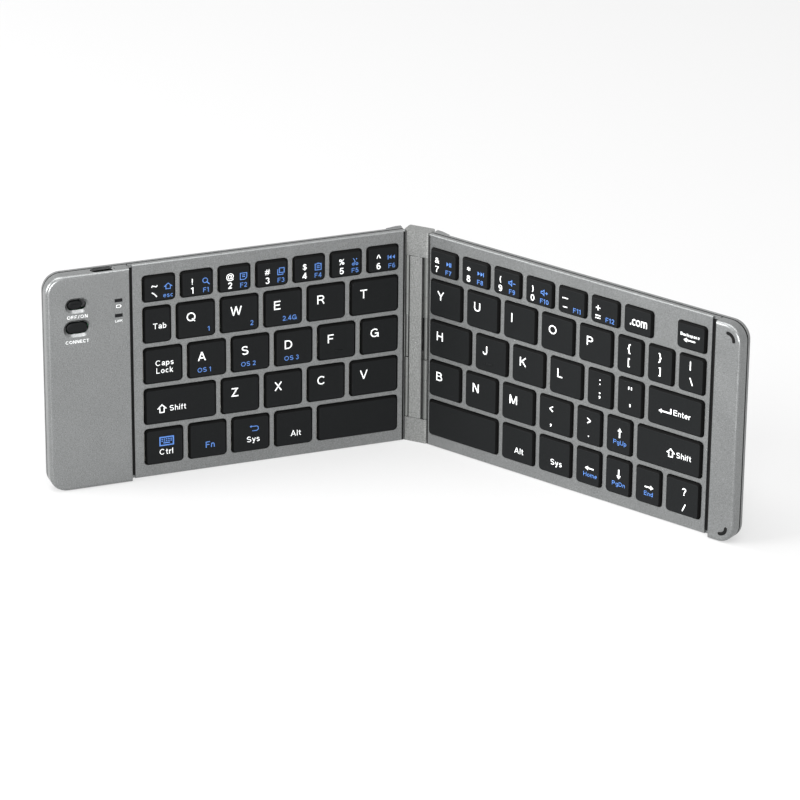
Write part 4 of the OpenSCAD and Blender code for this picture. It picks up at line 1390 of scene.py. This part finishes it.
def seen_rays(tree):
    """1 for what the camera sees, straight or in a reflection, and 0 for other light."""
    path = tree.nodes.new("ShaderNodeLightPath")
    total = path.outputs["Is Camera Ray"]
    for kind in ("Is Glossy Ray", "Is Transmission Ray"):
        most = add_node(tree, "Math", {0: total, 1: path.outputs[kind]})
        most.operation = "MAXIMUM"
        total = most.outputs["Value"]
    return total


def floor_material():
    """Light grey that the camera sees a little brighter than it lights."""
    mat, tree, shader, _ = new_material("floor")
    look = {"Base Color": FLOOR_GREY, "Roughness": 0.8, "Specular IOR Level": 0.1}
    set_inputs(tree, shader, look)
    glow = add_node(tree, "Emission", {"Color": WHITE, "Strength": 1})
    share = add_node(tree, "Math", {0: seen_rays(tree), 1: FLOOR_GLOW})
    share.operation = "MULTIPLY"
    mix = {"Fac": share.outputs["Value"], 1: shader.outputs["BSDF"], 2: glow.outputs["Emission"]}
    mixed = add_node(tree, "MixShader", mix)
    tree.links.new(mixed.outputs["Shader"], tree.nodes["Material Output"].inputs["Surface"])
    return mat


def floor():
    """Wide floor under the keyboard."""
    bm = bmesh.new()
    sides = (-FLOOR_REACH, FLOOR_REACH)
    bm.faces.new([bm.verts.new((x, y, 0)) for x, y in rectangle(*sides, *sides)])
    mesh = mesh_of(bm, "floor")
    mesh.materials.append(floor_material())
    made = add_object("floor", mesh)


def world():
    """White surroundings that look brighter than they light."""
    made = bpy.data.worlds.new("studio")
    bpy.context.scene.world = made
    made.use_nodes = True
    tree = made.node_tree
    levels = {"Value": seen_rays(tree), "To Min": WORLD_LIGHT, "To Max": WORLD_SEEN}
    strength = add_node(tree, "MapRange", levels).outputs["Result"]
    set_inputs(tree, tree.nodes["Background"], {"Color": WHITE, "Strength": strength})


def softbox(name, place, aim, size, power):
    """Rectangular lamp at a place, turned to its aim."""
    data = bpy.data.lights.new(name, "AREA")
    data.shape = "RECTANGLE"
    data.size, data.size_y = size
    data.energy = power
    lamp = add_object(name, data)
    lamp.location = place
    lamp.rotation_mode = "QUATERNION"
    lamp.rotation_quaternion = (Vector(aim) - Vector(place)).to_track_quat("-Z", "Y")


def lights():
    """Large lamp from the left, a low one that edges the right flank, and one overhead."""
    aim = (0, 0, 0.045)
    softbox("key", (-1.2, -0.95, 0.5), aim, (0.8, 0.8), 34)
    softbox("edge", (0.34, -0.85, 0.08), (0.14, -0.03, 0.045), (0.1, 0.14), 5.5)
    softbox("top", (-0.1, -0.28, 1.25), aim, (2.4, 0.6), 22)


def camera():
    """The photograph's view, found by fitting both halves' keys."""
    azimuth, elevation, roll = 24.806, 24.207, 0.543
    aim = Vector((-6.17, -1.797, 16.843)) * MM
    distance = 1720.0 * MM
    place = Matrix.Translation(aim)
    for degrees, axis in ((azimuth, "Z"), (90 - elevation, "X"), (roll, "Z")):
        place @= Matrix.Rotation(math.radians(degrees), 4, axis)
    data = bpy.data.cameras.new("camera")
    data.sensor_width = 36
    data.lens = 196.645
    data.clip_end = 20
    made = add_object("camera", data)
    made.matrix_world = place @ Matrix.Translation((0, 0, distance))
    bpy.context.scene.camera = made


# ---- The scene ----

flank_cover(LEFT, LEFT_STEP_X, left_flank_cutters())
flank_cover(RIGHT, RIGHT_STEP_X, right_flank_cutters())
for one_half in (LEFT, RIGHT):
    back_shell(one_half)
    back_ridge(one_half)
    # The next two pieces are near-black strips of painted shade.
    seam_shade_strip(one_half)
    near_edge_shade(one_half)
    bay_sleeve(one_half)
socket_shade_liner()
keys(LEFT, LEFT_KEYS, LEFT_BLOCK)
keys(RIGHT, RIGHT_KEYS, RIGHT_BLOCK)
controls()
flank_print()
bumpers()
floor()
world()
lights()
camera()
bpy.context.scene.view_settings.view_transform = "Standard"
